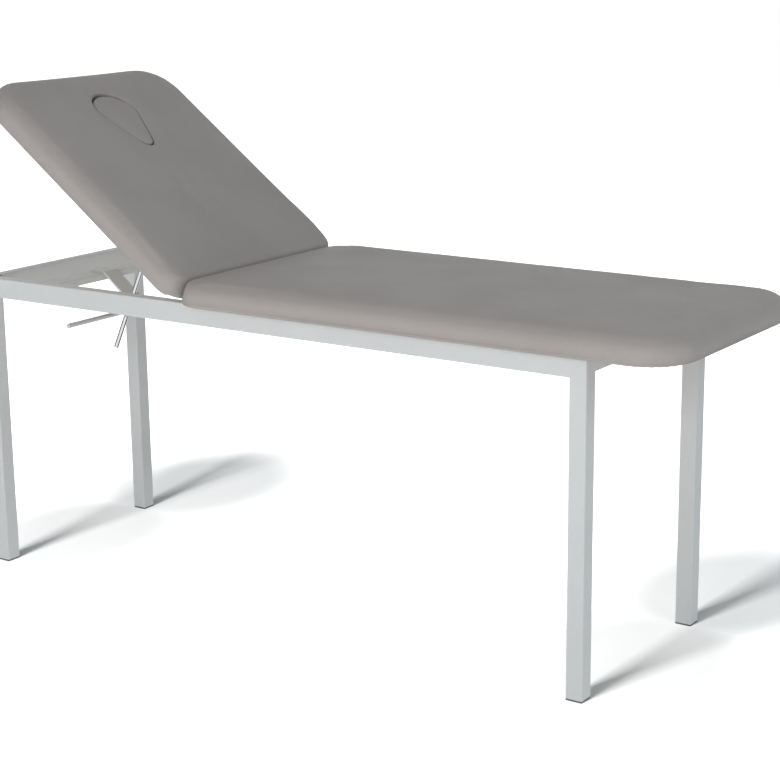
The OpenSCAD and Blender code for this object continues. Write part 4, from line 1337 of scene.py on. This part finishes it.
class TABLE_OT_screws(bpy.types.Operator):
    """Make the screws with their cross recesses"""

    bl_idname = "table.screws"
    bl_label = "Screws"

    def execute(self, context):
        for node, body, up in (
            ("board_tab_screws", "frame", Vector((0, 0, 1))),
            ("seat_leaf_screws", "frame", Vector((0, 0, 1))),
            ("back_leaf_screws", "backrest", UP),
            ("slide_bracket_screws", "backrest", UP),
        ):
            name = node.replace("screws", "pan_screws")
            piece = placed(name, screw_mesh(name, node, up))
            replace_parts(finish_piece(piece, body, "zinc_plate"), node)
        return {"FINISHED"}


class TABLE_OT_spring(bpy.types.Operator):
    """Wind the lock's spring"""

    bl_idname = "table.spring"
    bl_label = "Lock spring"

    def execute(self, context):
        piece = placed("wound_spring", spring_mesh("wound_spring"))
        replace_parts(finish_piece(piece, "frame", "zinc_plate"), "lock_spring")
        return {"FINISHED"}


class TABLE_OT_boards(bpy.types.Operator):
    """Finish the plywood boards"""

    bl_idname = "table.boards"
    bl_label = "Boards"

    def execute(self, context):
        dress("seat_plywood", "seat_board")
        dress("backrest_plywood", "backrest_board", "face_plug_board")
        return {"FINISHED"}


class TABLE_OT_cushions(bpy.types.Operator):
    """Fill and cover the three cushions"""

    bl_idname = "table.cushions"
    bl_label = "Cushions"

    def execute(self, context):
        padding = context.scene.table_padding
        for part, axes, voxel, pad, body in (
            ("seat", SEAT_AXES, padding.voxel, SEAT_PAD, "frame"),
            ("backrest", BACK_AXES, padding.voxel, BACK_PAD, "backrest"),
            ("face_plug", BACK_AXES, padding.plug_voxel, PlugPad(), "face_plug"),
        ):
            cushion(f"{part}_upholstery", f"{part}_cushion", axes, voxel, pad, body)
        return {"FINISHED"}


class TABLE_OT_hems(bpy.types.Operator):
    """Turn the covers in under the boards and staple them"""

    bl_idname = "table.hems"
    bl_label = "Hems and staples"

    def execute(self, context):
        for side, length, axes, body in (
            ("seat", SEAT_L, SEAT_AXES, "frame"),
            ("backrest", BACK_L, BACK_AXES, "backrest"),
        ):
            hem = placed(f"{side}_hem", hem_mesh(f"{side}_hem", length, axes))
            finish_piece(hem, body, "grey_vinyl", smooth=False)
            staples = placed(f"{side}_staples", staple_mesh(f"{side}_staples", length, axes))
            finish_piece(staples, body, "zinc_plate")
        return {"FINISHED"}


OPERATORS = (
    TABLE_OT_stage, TABLE_OT_steel, TABLE_OT_welds, TABLE_OT_feet, TABLE_OT_fittings,
    TABLE_OT_screws, TABLE_OT_spring, TABLE_OT_boards, TABLE_OT_cushions, TABLE_OT_hems,
)


class TABLE_PT_panel(bpy.types.Panel):
    """Sizes, finishes and steps of the examination table"""

    bl_idname = "TABLE_PT_panel"
    bl_label = "Examination table"
    bl_space_type = "VIEW_3D"
    bl_region_type = "UI"
    bl_category = "Table"

    def draw(self, context):
        layout = self.layout
        for name in GROUPS:
            group, box = getattr(context.scene, name), layout.box()
            for setting in group.__annotations__:
                box.prop(group, setting)
        for operator in OPERATORS:
            layout.operator(operator.bl_idname)


GROUPS = {
    "table_finish": TableFinish,
    "table_padding": TablePadding,
    "table_studio": TableStudio,
}


def register():
    for name, group in GROUPS.items():
        bpy.utils.register_class(group)
        setattr(bpy.types.Scene, name, PointerProperty(type=group))
    for operator in OPERATORS:
        bpy.utils.register_class(operator)
    bpy.utils.register_class(TABLE_PT_panel)


def unregister():
    bpy.utils.unregister_class(TABLE_PT_panel)
    for operator in reversed(OPERATORS):
        bpy.utils.unregister_class(operator)
    for name, group in GROUPS.items():
        delattr(bpy.types.Scene, name)
        bpy.utils.unregister_class(group)


def main():
    register()
    for operator in OPERATORS:
        family, step = operator.bl_idname.split(".")
        getattr(getattr(bpy.ops, family), step)()


if __name__ == "__main__":
    main()
